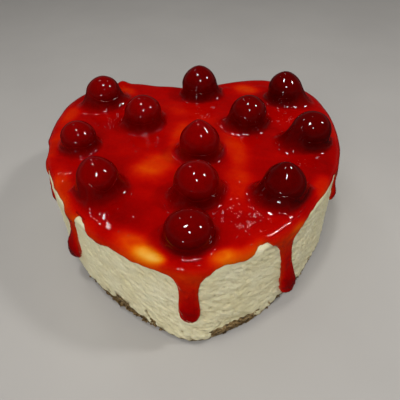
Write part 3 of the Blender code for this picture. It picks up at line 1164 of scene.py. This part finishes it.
@dataclass(frozen=True)
class Glaze:
    """The red gel: a sheet over the top and shoulder, drips down the wall and a skirt round each cherry.

    Thicknesses, reaches and steps are in millimetres. Optical depths are plain numbers: the finish turns
    them into colour.
    """

    form: CakeForm
    top: float = 2.4
    side: float = 1.5
    edge: float = 3.2
    root: float = 9.0
    merge: float = 3.6
    point_share: float = 1.5
    lean_power: float = 1.6
    flare_reach: float = 5.5
    tail_spread: float = 0.35
    ragged: float = 0.45
    uneven: float = 0.42
    long_wave: float = 0.20
    short_wave: float = 0.10
    steady: float = 1.66
    cloud: float = 0.20
    swirl: float = 0.16
    # Bell of extra depth round each cherry: pooled gel and painted shadow of the cherry.
    cherry_pool_and_shadow: float = 0.75
    cherry_pool_and_shadow_reach: float = 5.2
    rim_edge_depth: float = 0.35
    side_edge_depth: float = 0.72
    side_depth: float = 0.82
    low_depth: float = 0.32
    bulge_depth: float = 0.42
    deepest: float = 64.0
    samples: int = 420
    rim_samples: int = 1200
    density_samples: int = 12001
    plain_step: float = 1.55
    drip_step: float = 0.50
    middle: tuple[float, float] = (0.0, 8.0)
    crown_rows: int = 65
    bend_rows: int = 14
    fall_rows: int = 32
    settled: float = 0.12
    buried: float = 0.5
    skirts: SkirtShape = SkirtShape()
    finish: GelFinish = GelFinish("red_gel", (0.83, 0.765, 0.545))
    coat: GelFinish = GelFinish(
        "cherry_gel", (0.83, 0.765, 0.545), ripple=0.00022, waves=210.0, fine=0.0, detail=0.0
    )

    def top_depth(self, x: Array, y: Array) -> Array:
        """Optical depth of the gel on top, in plan.

        Args:
            x: places across.
            y: places along.

        Returns:
            A steady depth, thinned by the patches and deepened by a bell round each cherry: gel pooled
            there, with painted shadow.
        """
        swirl = Grain(26).at(x / 16.0 + 0.05 * y + OFF_CAKE, y / 5.0 + 0.06 * x + OFF_CAKE)
        depth = self.steady + self.cloud * Grain(21).over(x, y, 11.0) + self.swirl * swirl
        for patch in PATCHES:
            depth = depth * patch.over(x, y)
        # Deeper gel pooled round each cherry, and painted shadow of the cherry on the gel around it.
        for cherry in CHERRIES:
            away = np.hypot(x - cherry.centre[0], y - cherry.centre[1]) - cherry.radius
            depth = depth + self.cherry_pool_and_shadow * np.exp(-np.maximum(away, 0.0) / self.cherry_pool_and_shadow_reach)
        return depth

    def top_thickness(self, x: Array, y: Array) -> Array:
        """Thickness of the gel on top.

        Args:
            x: places across.
            y: places along.

        Returns:
            A steady thickness with waves at two scales and the swells.
        """
        waves = self.long_wave * Grain(22).over(x, y, 17.0) + self.short_wave * Grain(23).over(x, y, 6.0)
        return self.top + waves + sum(swell.over(x, y) for swell in SWELLS)

    def drip_half(self, drip: Drip, run: Array) -> Array:
        """Half-width of a drip.

        Args:
            drip: the drip.
            run: way over the shoulder and down the wall.

        Returns:
            Its neck, with a flare that dies away below the root and a bell for the bulb at its end.
        """
        flare = drip.flare * np.exp(-np.maximum(run - self.root, 0.0) / self.flare_reach)
        bulb = drip.bulb * np.exp(-(((run - self.drip_end(drip)) / (drip.bulb_reach * drip.width)) ** 2))
        return drip.width / 2 * (drip.neck + flare + bulb)

    def drip_end(self, drip: Drip) -> float:
        """Run at which a drip's long round end starts."""
        return float(self.form.run_at(np.array(drip.drop))) - 0.5 * drip.width * self.point_share

    def drip_middle(self, drip: Drip, run: Array) -> Array:
        """Place of a drip's middle down its run: straight at first, then leaning."""
        return drip.place + drip.lean * (np.maximum(run, 0.0) / self.drip_end(drip)) ** self.lean_power

    def cover(self, s: Array, run: Array) -> Array:
        """How far inside the glaze's edge a place on the wall is.

        Args:
            s: distance along the rim.
            run: way over the shoulder.

        Returns:
            The smooth maximum of the sheet's way to its edge and each drip's way to its side or round end.
        """
        rim = self.form.rim
        reach = around_table(GLAZE_REACH, s, rim.whole) + self.ragged * RimGrain(24, 130).at(rim.share(s))
        inside = self.form.run_at(reach) - run
        for drip in DRIPS:
            end = self.drip_end(drip)
            aside = rim.aside(s, self.drip_middle(drip, run))
            below = np.maximum(run - end, 0.0) / self.point_share
            within = self.drip_half(drip, np.minimum(run, end)) - np.hypot(aside, below)
            inside = smooth_max(inside, within, self.merge)
        return inside

    def rounded(self, inside: Array) -> Array:
        """Share of the full thickness near the edge: a quarter circle from 0 at the edge up to 1."""
        share = np.clip(inside / self.edge, 0.0, 1.0)
        return np.sqrt(1 - (1 - share) ** 2)

    def thickness(self, s: Array, run: Array, inside: Array) -> Array:
        """Thickness of the gel on the shoulder and wall.

        Args:
            s: distance along the rim.
            run: way over the shoulder.
            inside: way in from the edge.

        Returns:
            The full thickness, with each drip's bulge, rounded down to nothing at the edge.
        """
        rim = self.form.rim
        full = np.full_like(s, self.side) + self.uneven * RimGrain(25, 80, 6.0).at(rim.share(s), run)
        for drip in DRIPS:
            across = rim.aside(s, self.drip_middle(drip, run)) / (drip.bulge_reach * drip.width)
            low = (run - self.drip_end(drip)) / (drip.bulb_reach * drip.width)
            full = full + drip.bulge * np.exp(-(across**2) - low * low)
        return full * self.rounded(inside)

    def columns(self) -> Array:
        """Where the sheet's columns stand along the rim, closer together at the drips.

        Returns:
            Distances along the rim: the inverse of a density of columns summed round it.
        """
        rim = self.form.rim
        fine = np.linspace(-rim.whole / 2, rim.whole / 2, self.density_samples)
        density = np.full_like(fine, 1 / self.plain_step)
        for drip in DRIPS:
            away = np.abs(rim.aside(fine, drip.place))
            close = 1 - smooth_step(0.75 * drip.width, 1.15 * drip.width, away)
            density = np.maximum(density, close / self.drip_step)
        summed = np.concatenate([[0.0], np.cumsum((density[1:] + density[:-1]) / 2 * np.diff(fine))])
        count = int(summed[-1])
        return np.interp(np.arange(count) * summed[-1] / count, summed, fine)

    def paths(self, columns: Array, run: Array) -> Array:
        """Where each column runs on the wall: columns in a drip follow its lean, neck and end.

        Args:
            columns: each column's distance along the rim at the shoulder.
            run: way over the shoulder, one row for each column.

        Returns:
            Distance along the rim at each run.
        """
        place = columns + 0 * run
        for drip in DRIPS:
            aside = self.form.rim.aside(columns, drip.place)
            window = 1 - smooth_step(0.8 * drip.width, 1.15 * drip.width, np.abs(aside))
            low = np.maximum(run, self.root)
            down = np.clip((low - self.root) / (self.drip_end(drip) - self.root), 0.0, 1.0)
            spread = 1 + self.tail_spread * down
            width = self.drip_half(drip, low) / self.drip_half(drip, np.array(self.root)) * spread
            place = place + window * (aside * (width - 1) + self.drip_middle(drip, run) - drip.place)
        return place

    def ends(self, columns: Array) -> Array:
        """Run at which each column leaves the glaze.

        Args:
            columns: each column's distance along the rim at the shoulder.

        Returns:
            The first zero of the cover along each column's path, found between two samples.
        """
        runs = np.linspace(0.0, self.deepest, self.samples)[:, None]
        cover = self.cover(self.paths(columns[None, :], runs), runs)
        first = np.argmax(cover <= 0, axis=0)
        pick = np.arange(len(columns))
        before, after = cover[first - 1, pick], cover[first, pick]
        step = self.deepest / (self.samples - 1)
        return (first - 1 + before / (before - after)) * step

    def crown(self, inner_edge: Array) -> tuple[Array, Array]:
        """The sheet's flat top.

        Args:
            inner_edge: plan points where the shoulder starts.

        Returns:
            Rings of points from the middle out to that edge, and their optical depth.
        """
        middle = np.array(self.middle)
        shares = np.linspace(0.0, 1.0, self.crown_rows + 1)[1:, None, None] ** 0.92
        plan = middle + (inner_edge[None, :, :] - middle) * shares
        x, y = plan[..., 0], plan[..., 1]
        return np.stack([x, y, self.form.top + self.top_thickness(x, y)], axis=-1), self.top_depth(x, y)

    def runs(self, ends: Array) -> Array:
        """Runs of the sheet's rings: even over the shoulder to a knee, then closer towards the edge.

        Args:
            ends: run at which each column leaves the glaze.

        Returns:
            One row for each ring and one column for each of the sheet's columns.
        """
        knee = np.minimum(self.root, 0.62 * ends)
        bend = np.linspace(0.0, 1.0, self.bend_rows + 1)[1:, None]
        fall = 1 - (1 - np.linspace(0.0, 1.0, self.fall_rows + 1)[1:, None]) ** 1.5
        return np.concatenate([knee * bend, knee + (ends - knee) * fall])

    def hanging(self, columns: Array, ends: Array, outer: Array) -> tuple[Array, Array]:
        """The sheet over the shoulder and down the wall, with its drips.

        Args:
            columns: each column's distance along the rim at the shoulder.
            ends: run at which each column leaves the glaze.
            outer: points of the flat top's last ring.

        Returns:
            Rings of points down to the edge, and their optical depth, which turns from that of the top into
            that of the side as the shoulder bends over.
        """
        run = self.runs(ends)
        s = self.paths(columns[None, :], run)
        inside = self.cover(s, run)
        inside[-1] = 0.0
        fade = self.rounded(inside)
        over = smooth_step(0.0, self.form.quarter, run)
        thick = self.thickness(s, run, inside)
        crown_thick = self.top_thickness(outer[:, 0], outer[:, 1])[None, :]
        body = crown_thick * (1 - over) * fade + thick * over
        wall = self.form.point(s, run, body - self.settled)
        plan_depth = self.top_depth(wall[..., 0], wall[..., 1])
        lower = smooth_step(self.root, 3.2 * self.root, run)
        side = self.side_depth + self.low_depth * lower
        side = side + self.bulge_depth * np.maximum(thick - self.side, 0.0)
        side = side * (self.side_edge_depth + (1 - self.side_edge_depth) * fade)
        thin = np.minimum(plan_depth / self.steady, 1.0)
        side = side * (1 - (1 - thin) * (1 - smooth_step(4.0, 12.0, run)))
        near_top = plan_depth * (self.rim_edge_depth + (1 - self.rim_edge_depth) * fade)
        return wall, near_top * (1 - over) + side * over

    def underside(self, columns: Array, ends: Array, inner_edge: Array) -> Array:
        """The hidden back of the sheet, sunk a little into the cream.

        Args:
            columns: each column's distance along the rim at the shoulder.
            ends: run at which each column leaves the glaze.
            inner_edge: plan points where the shoulder starts.

        Returns:
            Rings of points from the edge back up the wall and in under the top.
        """
        back = np.array([1.0, 0.9, 0.75, 0.5, 0.25, 0.0])[:, None] * ends
        wall = self.form.point(self.paths(columns[None, :], back), back, np.full_like(back, -self.buried))
        middle = np.array(self.middle)
        plan = middle + (inner_edge - middle) * np.array([0.6, 0.2])[:, None, None]
        height = np.full((*plan.shape[:2], 1), self.form.top - self.buried)
        return np.concatenate([wall, np.concatenate([plan, height], axis=-1)])

    def sheet(self) -> bpy.types.Object:
        """The sheet and its drips as one closed skin.

        Returns:
            Rings from the middle of the top out over the shoulder to the edge, and back under the gel.
        """
        columns = self.columns()
        ends = self.ends(columns)
        none = np.zeros_like(columns)
        inner_edge = self.form.point(columns, none, none)[:, :2]
        crown, crown_depth = self.crown(inner_edge)
        wall, wall_depth = self.hanging(columns, ends, crown[-1])
        under = self.underside(columns, ends, inner_edge)
        depth = np.concatenate([crown_depth, wall_depth, np.ones(under.shape[:2])])
        rings = np.concatenate([crown, wall, under])
        return surface_piece("gel_sheet", rings, Fold.CAPPED, {"depth": depth})

    def level(self, x: Array, y: Array) -> Array:
        """Height of the gel's top in plan.

        Args:
            x: places across.
            y: places along.

        Returns:
            The flat top's height, and near the rim the shoulder's circle grown by the gel's thickness.
        """
        rim = self.form.rim
        outline, _ = rim.at(rim.evenly(self.rim_samples))
        squared = (x[..., None] - outline[:, 0]) ** 2 + (y[..., None] - outline[:, 1]) ** 2
        away = np.sqrt(np.min(squared, axis=-1))
        thick = self.top_thickness(x, y)
        bend = np.clip((self.form.shoulder - away) / (self.form.shoulder + thick), 0.0, 1.0)
        crown = self.form.top - self.form.shoulder
        return crown + (self.form.shoulder + thick) * np.sqrt(1 - bend**2)

    def on_gel(self, cherry: Cherry, reach: Array, sunk: float) -> Array:
        """Places on the gel round a cherry.

        Args:
            cherry: the cherry.
            reach: way out from the cherry's axis at each of its bearings.
            sunk: how far below the gel's top the places lie.

        Returns:
            One point for each bearing.
        """
        bearing = cherry.bearings()
        outwards = np.stack([np.cos(bearing), np.sin(bearing)], axis=-1)
        plan = cherry.centre + outwards * reach[:, None]
        return np.concatenate([plan, (self.level(plan[:, 0], plan[:, 1]) - sunk)[:, None]], axis=1)

    def skirt_reach(self, cherry: Cherry, ground: Array) -> tuple[Array, Array, Array]:
        """How large the hollow curve of a skirt is, from a circle that touches cherry and gel.

        Args:
            cherry: the cherry that the skirt climbs.
            ground: height of the gel under the cherry's side at each of its bearings.

        Returns:
            The circle's radius, the way out to its foot, and the angle up the cherry at which it leaves it,
            by bearing. The lobes climb higher, and the circle is held to the room inside the rim.
        """
        bearing = cherry.bearings()
        radius = cherry.plan_radius(bearing)
        high = (cherry.belly - ground) / (cherry.rise / radius)
        room = self.room(cherry.centre, bearing) - self.skirts.spare_room
        most = (room**2 - radius**2 + high**2) / (2 * (radius + high))
        least = self.skirts.least_hollow
        hollow = np.clip(cherry.skirt_radius(bearing), least, np.maximum(most, least))
        foot = np.sqrt((radius + hollow) ** 2 - (hollow - high) ** 2)
        climb = np.arctan2(hollow - high, foot) + self.skirts.lobe_climb * cherry.lobe_size(bearing)
        return hollow, np.maximum(foot, radius + self.skirts.least_foot), np.clip(climb, *self.skirts.climbs)

    def skirt(self, cherry: Cherry) -> bpy.types.Object:
        """The gel that climbs one cherry, as a closed ring.

        Args:
            cherry: the cherry it climbs.

        Returns:
            A hollow cubic curve carried round the cherry: it leaves the cherry and meets the flat gel
            without a crease.
        """
        shape = self.skirts
        bearing = cherry.bearings()
        radius = cherry.plan_radius(bearing)
        ground = self.on_gel(cherry, radius, shape.touch)[:, 2]
        hollow, foot, climb = self.skirt_reach(cherry, ground)
        polar = math.pi / 2 - climb
        start, end = cherry.surface(polar, bearing), self.on_gel(cherry, foot, shape.touch)
        leave = cherry.surface(polar + shape.leave_step, bearing) - start
        arrive = end - self.on_gel(cherry, foot - shape.arrive_step, shape.touch)
        pull = shape.pull * np.linalg.norm(end - start, axis=1, keepdims=True)
        leave = start + leave / np.linalg.norm(leave, axis=1, keepdims=True) * pull
        arrive = end - arrive / np.linalg.norm(arrive, axis=1, keepdims=True) * pull
        share = np.linspace(0.0, 1.0, shape.rows)[:, None, None] ** shape.row_power
        rest = 1 - share
        curve = rest**3 * start + 3 * rest**2 * share * leave + 3 * rest * share**2 * arrive + share**3 * end
        away = np.linalg.norm(curve[..., :2] - cherry.centre, axis=-1) - radius
        soft = cherry.fade * (shape.soft_share * hollow + shape.soft_least)
        dark = np.exp(-((np.maximum(away + shape.dark_start, 0.0) / soft) ** shape.dark_power))
        dark = dark * (1 - smooth_step(*shape.dark_end, share[..., 0]))
        depth = self.top_depth(curve[..., 0], curve[..., 1]) * (1 - dark)
        depth = depth + cherry.depth(curve[..., 2]) * dark
        tuck = self.on_gel(cherry, foot + shape.tuck, shape.tuck_sunk)
        low = self.on_gel(cherry, foot, shape.foot_sunk)
        low[:, 2] = np.minimum(low[:, 2], tuck[:, 2] - shape.foot_under_tuck)
        outwards = np.stack([np.cos(bearing), np.sin(bearing)], axis=-1)
        core = cherry.centre + outwards * (radius * shape.core_share)[:, None]
        under = np.concatenate([core, (ground - shape.core_sunk)[:, None]], axis=1)
        inside = np.concatenate([core, (start[:, 2] - shape.core_below_start)[:, None]], axis=1)
        rings = np.concatenate([curve, tuck[None], low[None], under[None], inside[None]])
        depth = np.concatenate([depth, depth[-1:], np.full((3, len(bearing)), 2.0)])
        return surface_piece(cherry.node.replace("cherry", "gel_skirt"), rings, Fold.RING, {"depth": depth})

    def room(self, centre: Array, bearing: Array) -> Array:
        """Way from a place in plan to the rim.

        Args:
            centre: the place.
            bearing: bearings in which it is asked for.

        Returns:
            The way at each bearing, read off a fine outline of the rim.
        """
        offset = self.form.rim.at(self.form.rim.evenly(self.rim_samples))[0] - centre
        order = np.argsort(np.arctan2(offset[:, 1], offset[:, 0]))
        towards = np.arctan2(offset[order, 1], offset[order, 0])
        return np.interp(np.angle(np.exp(1j * bearing)), towards, np.hypot(*offset[order].T), period=TURN)


@dataclass(frozen=True)
class Filling:
    """The cream filling with its marked wall and the lip that laps over the biscuit.

    The lip is how far the cream hangs below the biscuit's top, by distance along the rim. The core is how
    far in from the rim the hidden underside reaches. Each smear is its place along the rim and its reach.
    """

    form: CakeForm
    floor: float
    columns: int = 1060
    rows: int = 80
    shoulder_rows: int = 6
    lip: tuple[tuple[float, float], ...] = (
        (-324, 3.0), (-270, 5.0), (-215, 2.0), (-170, 4.0), (-125, 2.0), (-88, 3.0), (-70, 1.6), (-60, -0.4),
        (-50, -1.8), (-41, -1.0), (-34, 1.0), (-26, 4.3), (-10, 6.6), (12, 6.8), (34, 5.2), (52, 3.0),
        (72, 4.2), (98, 2.2), (140, 4.6), (190, 2.0), (245, 4.8), (290, 2.4),
    )
    ragged: float = 0.7
    lowest: float = 0.9
    core: float = 30.0
    crown_reach: float = 25.0
    seat_gap: float = 0.4
    lip_inside: float = 1.3
    lip_inside_low: float = 0.5
    spread_share: float = 0.8
    turn_in: float = 0.9
    turn_rate: float = 26
    left_smear: tuple[float, float] = (-50, 13.0)
    right_smear: tuple[float, float] = (24, 12.0)
    hollow_window: tuple[int, int] = (3, 4)
    hollow_gain: float = 1.1
    hollow_most: float = 0.75
    finish: CreamFinish = CreamFinish()

    def lip_height(self, s: Array) -> Array:
        """Height of the cream's lower edge.

        Args:
            s: distance along the rim.

        Returns:
            The biscuit's top less the lip's hang, made ragged, and never on the table.
        """
        rim = self.form.rim
        ragged = self.ragged * RimGrain(31, 190).at(rim.share(s))
        return np.maximum(self.floor - around_table(list(self.lip), s, rim.whole) + ragged, self.lowest)

    def crumb_and_shade(self, s: Array, z: Array) -> Array:
        """Share of crumb colour in the cream, with painted shade in the crack.

        Args:
            s: distance along the rim.
            z: height.

        Returns:
            A ragged band of crumb at the foot, a smear on each side of the point, a faint darkening that
            fades out 13 mm above the lip all round, and painted shade in the crack.
        """
        above = z - self.lip_height(s)
        smear = RimGrain(32, 160, 7.0).at(self.form.rim.share(s), z)
        band = 1 - smooth_step(0.0, 2.4, above - 1.2 * smear)
        (left_place, left_reach), (right_place, right_reach) = self.left_smear, self.right_smear
        left = np.exp(-(((s - left_place) / left_reach) ** 2))
        left = left * (1 - smooth_step(2.0, 10.0, above)) * smooth_step(-0.1, 0.5, smear)
        right = np.exp(-(((s - right_place) / right_reach) ** 2)) * smooth_step(8.5, 4.0, z + 1.8 * smear)
        # A faint darkening over the lowest 13 mm of the wall all round.
        low_darkening = 0.30 * (1 - smooth_step(1.0, 13.0, above)) * (0.55 + 0.45 * smear)
        # The crack painted dark in crumb brown, as the shade inside it.
        crack = self.form.crack.over(s, z)
        return np.clip(0.8 * band + 0.95 * left + 0.9 * right + low_darkening + 0.9 * crack, 0.0, 1.0)

    def build(self) -> bpy.types.Object:
        """The filling as one closed piece.

        Returns:
            Rings from the hidden underside out under the lip, up the wall, over the shoulder and in.
        """
        form, rim = self.form, self.form.rim
        s = rim.evenly(self.columns)
        low = self.lip_height(s)
        inside = self.lip_inside + self.spread_share * form.foot_spread(s)
        seat = self.floor + self.seat_gap
        under = np.array(
            [
                rim.raised(s, -self.core, seat),
                rim.raised(s, inside, seat),
                rim.raised(s, inside, low + self.lip_inside_low),
            ]
        )
        bottom = form.quarter + form.top - form.shoulder - low
        climb = np.linspace(0.0, 1.0, self.rows)[:, None]
        run = bottom - (bottom - form.quarter) * climb
        around = s + 0 * run
        wall = form.point(around, run, -self.turn_in * np.exp(-climb * self.turn_rate) + 0 * run)
        bend = np.linspace(form.quarter, 0.0, self.shoulder_rows)[1:, None] + 0 * s
        shoulder = form.point(s + 0 * bend, bend, np.zeros_like(bend))
        crown = rim.raised(s, -form.shoulder - self.crown_reach, form.top)
        rings = np.concatenate([under, wall, shoulder, crown[None]])
        walled = slice(len(under), len(under) + len(wall))
        crumb_and_shade, hollow = np.zeros((2, *rings.shape[:2]))
        crumb_and_shade[: len(under)] = 1.0
        # Crumb colour, darkening low on the wall and painted shade in the crack.
        crumb_and_shade[walled] = self.crumb_and_shade(around, wall[..., 2])
        hollow[walled] = self.hollow(form.relief(around, wall[..., 2]))
        return surface_piece("cream_filling", rings, Fold.CAPPED, {"crumb_and_shade": crumb_and_shade, "hollow": hollow})

    def hollow(self, relief: Array) -> Array:
        """Share of shade in small hollows.

        Args:
            relief: how far each place on the wall stands out.

        Returns:
            How far each place lies below the mean of a window of its neighbours, scaled and clipped.
        """
        down, along = self.hollow_window
        shifts = [(i, j) for i in range(-down, down + 1) for j in range(-along, along + 1)]
        mean = sum(np.roll(relief, shift, (0, 1)) for shift in shifts) / len(shifts)
        return np.clip((mean - relief) * self.hollow_gain, 0.0, self.hollow_most)


@dataclass(frozen=True)
class BiscuitBase:
    """The pressed crumb base with a craggy side, and crumbs that cling to it.

    Crumbs are strewn all round, and the first of them go to two stretches beside the point, where they are
    larger and sit higher. The core is how far in from the rim the hidden faces reach.
    """

    form: CakeForm
    top: float
    columns: int = 1000
    rows: int = 16
    core: float = 30.0
    proud: float = 0.5
    crag: float = 0.7
    grit: float = 0.45
    tuck: float = 0.8
    tuck_reach: float = 1.2
    spread_share: float = 0.85
    crumbs: int = 520
    crumbs_each_stretch: int = 70
    left_stretch: tuple[float, float] = (-66.0, -24.0)
    right_stretch: tuple[float, float] = (18.0, 38.0)
    larger: float = 0.3
    higher: float = 1.6
    crumb_sizes: tuple[float, float] = (0.35, 0.95)
    crumb_proud: float = 0.25
    finish: CrumbFinish = CrumbFinish()

    def out(self, s: Array, z: Array) -> Array:
        """How far the side stands out.

        Args:
            s: distance along the rim.
            z: height.

        Returns:
            Crags at two scales, tucked in at the top and bottom, and further out where the foot spreads.
        """
        share = self.form.rim.share(s)
        crags = self.crag * RimGrain(51, 210, 2.6).at(share, z)
        crags = crags + self.grit * RimGrain(52, 430, 1.3).at(share, z)
        tucked = self.tuck * smooth_step(self.tuck_reach, 0.0, z)
        tucked = tucked + self.tuck * smooth_step(self.top - self.tuck_reach, self.top, z)
        return self.proud + crags - tucked + self.spread_share * self.form.foot_spread(s)

    def build(self) -> bpy.types.Object:
        """The base as one closed piece.

        Returns:
            Rings from under the foot, up the craggy side and in over the top.
        """
        rim = self.form.rim
        s = rim.evenly(self.columns)
        z = np.linspace(0.0, self.top, self.rows)[:, None] + 0 * s
        around = s + 0 * z
        side = rim.raised(around, self.out(around, z), z)
        foot, lid = rim.raised(s, -self.core, 0.0), rim.raised(s, -self.core, self.top)
        return surface_piece("crumb_base", np.concatenate([foot[None], side, lid[None]]), Fold.CAPPED)

    @staticmethod
    def lump() -> tuple[Array, Array]:
        """A regular lump with twelve corners and twenty faces, from the corners of three golden rectangles.

        Returns:
            Corners at a distance of 1 from the middle, and the faces' corner numbers, turned outwards.
        """
        golden = (1 + math.sqrt(5)) / 2
        corners = np.array([(a, b * golden, 0) for a in (-1, 1) for b in (-1, 1)], float)
        corners = np.concatenate([np.roll(corners, k, axis=1) for k in range(3)]) / math.hypot(1, golden)
        near = np.linalg.norm(corners[:, None] - corners[None], axis=-1) < 1.2
        threes = combinations(range(len(corners)), 3)
        faces = np.array([(a, b, c) for a, b, c in threes if near[a, b] and near[b, c] and near[a, c]])
        first, second, third = (corners[faces[:, k]] for k in range(3))
        inwards = np.einsum("ij,ij->i", first, np.cross(second, third)) < 0
        faces[inwards] = faces[inwards][:, ::-1]
        return corners, faces

    def clinging(self) -> bpy.types.Object:
        """Loose crumbs on the side.

        Returns:
            One mesh of lumps, each made uneven and sized by a seeded draw.
        """
        rng = np.random.default_rng(61)
        corners, faces = self.lump()
        rim, each = self.form.rim, self.crumbs_each_stretch
        s = rng.uniform(-rim.half(), rim.half(), self.crumbs)
        s[:each] = rng.uniform(*self.left_stretch, each)
        s[each : 2 * each] = rng.uniform(*self.right_stretch, each)
        z = rng.uniform(0.7, self.top - 1.0, self.crumbs)
        size = rng.uniform(*self.crumb_sizes, self.crumbs)
        size[: 2 * each] += self.larger
        z[: 2 * each] += self.higher
        place = rim.raised(s, self.out(s, z) + self.crumb_proud, z)
        shape = corners[None] * rng.uniform(0.6, 1.25, (self.crumbs, len(corners), 1)) * size[:, None, None]
        points = (shape * rng.uniform(0.7, 1.2, (self.crumbs, 1, 3)) + place[:, None]).reshape(-1, 3)
        points[:, 2] = np.maximum(points[:, 2], 0.05)
        every = (faces[None] + len(corners) * np.arange(self.crumbs)[:, None, None]).reshape(-1, 3)
        return mesh_object("biscuit_crumbs", points, np.zeros((0, 4), int), every)


@dataclass(frozen=True)
class Lamp:
    """A round lamp that looks at the cake, with its place and width in metres and its power in watts."""

    name: str
    place: Place
    width: float
    power: float
    in_reflections: bool = True
    target: Place = (0.0, 0.0, 0.06)

    def hang(self) -> None:
        """Puts the lamp into the scene."""
        data = bpy.data.lights.new(self.name, "AREA")
        data.shape = "DISK"
        data.size = self.width
        data.energy = self.power
        made = bpy.data.objects.new(self.name, data)
        bpy.context.scene.collection.objects.link(made)
        place = Vector(self.place)
        turned = (Vector(self.target) - place).to_track_quat("-Z", "Y").to_matrix().to_4x4()
        made.matrix_world = Matrix.Translation(place) @ turned
        made.visible_glossy = self.in_reflections


# Soft light from above and from the front, and six small lamps for the sparkle on the gel.
LAMPS = (
    Lamp("soft_above", (-0.30, 0.35, 1.1), 0.8, 2.1, False),
    Lamp("soft_front", (-0.32, -0.84, 0.98), 0.7, 7.5, False),
    Lamp("spark_right", (0.66, 0.0, 0.80), 0.125, 2.8),
    Lamp("spark_above", (-0.12, -0.05, 1.03), 0.110, 2.2),
    Lamp("spark_front", (0.08, -0.50, 0.90), 0.080, 1.3),
    Lamp("spark_back", (-0.36, 0.55, 0.78), 0.040, 0.25),
    Lamp("spark_far", (0.13, 0.50, 0.73), 0.022, 0.05),
    Lamp("spark_low", (-0.30, -0.85, 0.22), 0.060, 0.6),
)


@dataclass(frozen=True)
class Studio:
    """Floor, lights and the camera at the photograph's place.

    Places and the floor's half-side are in millimetres, and the camera's pitch and roll in degrees. The sky
    is its brightness by how far up it is, from the horizon at 0 to the zenith at 1.
    """

    lens: float = 33.75
    nearest: float = 0.01
    place: Place = (3.9, -202.7, 215.9)
    pitch: float = 44.04
    roll: float = -1.70
    floor_half: float = 3000.0
    sky: tuple[tuple[float, Colour], ...] = (
        (0.0, (0.02, 0.02, 0.02)),
        (0.03, (0.09, 0.088, 0.085)),
        (0.18, (0.06, 0.06, 0.06)),
        (0.42, (0.02, 0.02, 0.02)),
    )

    def floor(self) -> None:
        """A wide pale floor under the cake."""
        half = self.floor_half
        corners = np.array([(-half, -half, 0), (half, -half, 0), (half, half, 0), (-half, half, 0)], float)
        ground = mesh_object("floor", corners, np.array([[0, 1, 2, 3]]), np.zeros((0, 3), int))
        FloorFinish().dress(ground)
        ground.visible_glossy = False

    def camera(self) -> None:
        """The camera, looking down on the cake from the front."""
        data = bpy.data.cameras.new("camera")
        data.lens = self.lens
        data.clip_start = self.nearest
        made = bpy.data.objects.new("camera", data)
        bpy.context.scene.collection.objects.link(made)
        pitch = Matrix.Rotation(math.radians(90 - self.pitch), 4, "X")
        roll = Matrix.Rotation(math.radians(self.roll), 4, "Z")
        made.matrix_world = Matrix.Translation(Vector(self.place) * MM) @ (pitch @ roll)
        bpy.context.scene.camera = made

    def surroundings(self) -> None:
        """Dark all round but for a pale band over the horizon, which draws light lines on the gel."""
        world = bpy.data.worlds.new("surroundings")
        world.use_nodes = True
        bpy.context.scene.world = world
        nodes = Nodes(world.node_tree)
        way = nodes.node("ShaderNodeTexCoord", {}, {}, "Generated")
        height = nodes.node("ShaderNodeSeparateXYZ", {}, {0: way}, "Z")
        light = nodes.node("ShaderNodeValToRGB", {"stops": self.sky}, {"Fac": height}, "Color")
        nodes.feed(world.node_tree.nodes["Background"].inputs["Color"], light)

    def build(self) -> None:
        """Sets the whole studio."""
        self.floor()
        self.camera()
        for lamp in LAMPS:
            lamp.hang()
        self.surroundings()
        bpy.context.scene.view_settings.view_transform = "Standard"


@dataclass
class Cheesecake:
    """The whole cake, built from its base upwards."""

    rim: HeartRim = HeartRim()
    pit_count: int = 110
    lowest_pit: float = 4.0
    pit_reach: float = 50.0
    pit_power: float = 1.8
    pieces: list[bpy.types.Object] = field(default_factory=list)

    def pits(self) -> tuple[Pit, ...]:
        """Small holes in the cream.

        Returns:
            Pits placed and sized by a seeded draw, more of them near the foot.
        """
        rng = np.random.default_rng(71)
        half = self.rim.half()
        return tuple(
            Pit(
                along=rng.uniform(-half, half),
                height=self.lowest_pit + self.pit_reach * rng.uniform() ** self.pit_power,
                wide=rng.uniform(0.6, 1.5),
                tall=rng.uniform(0.45, 0.9),
                deep=rng.uniform(0.35, 0.95),
            )
            for _ in range(self.pit_count)
        )

    def keep(self, piece: bpy.types.Object, slot: str, *nodes: str) -> None:
        """Attaches a finished piece to the root body, hides the CAD nodes it stands for, and keeps it.

        Args:
            piece: the piece.
            slot: not used.
            nodes: the CAD nodes that it stands for.
        """
        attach(piece, "root")
        if nodes:
            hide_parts(*nodes)
        self.pieces.append(piece)
        log.info("%s: %d faces", piece.name, len(piece.data.polygons))

    def build(self) -> None:
        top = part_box("cheese_filling")[1].z / MM
        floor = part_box("biscuit_base")[1].z / MM
        form = CakeForm(self.rim, top, pits=self.pits())
        base = BiscuitBase(form, floor)
        crust = base.build()
        crumbs = base.clinging()
        for piece in (crust, crumbs):
            base.finish.dress(piece)
        self.keep(crust, "biscuit", "biscuit_base")
        self.keep(crumbs, "biscuit")
        filling = Filling(form, floor)
        cream = filling.build()
        filling.finish.dress(cream)
        self.keep(cream, "cream", "cheese_filling")
        glaze = Glaze(form)
        gel = glaze.finish.material()
        sheet = glaze.sheet()
        sheet.data.materials.append(gel)
        self.keep(sheet, "glaze", "glaze")
        coat = glaze.coat.material()
        for cherry in CHERRIES:
            skirt = glaze.skirt(cherry)
            skirt.data.materials.append(gel)
            self.keep(skirt, "glaze")
            ball = cherry.ball()
            ball.data.materials.append(coat)
            self.keep(ball, "cherry", cherry.node)


def main() -> None:
    """Builds the studio and the cake."""
    logging.basicConfig(level=logging.INFO, format="%(name)s: %(message)s")
    Studio().build()
    cake = Cheesecake()
    cake.build()
    log.info("%d pieces in all", len(cake.pieces))


if __name__ == "__main__":
    main()
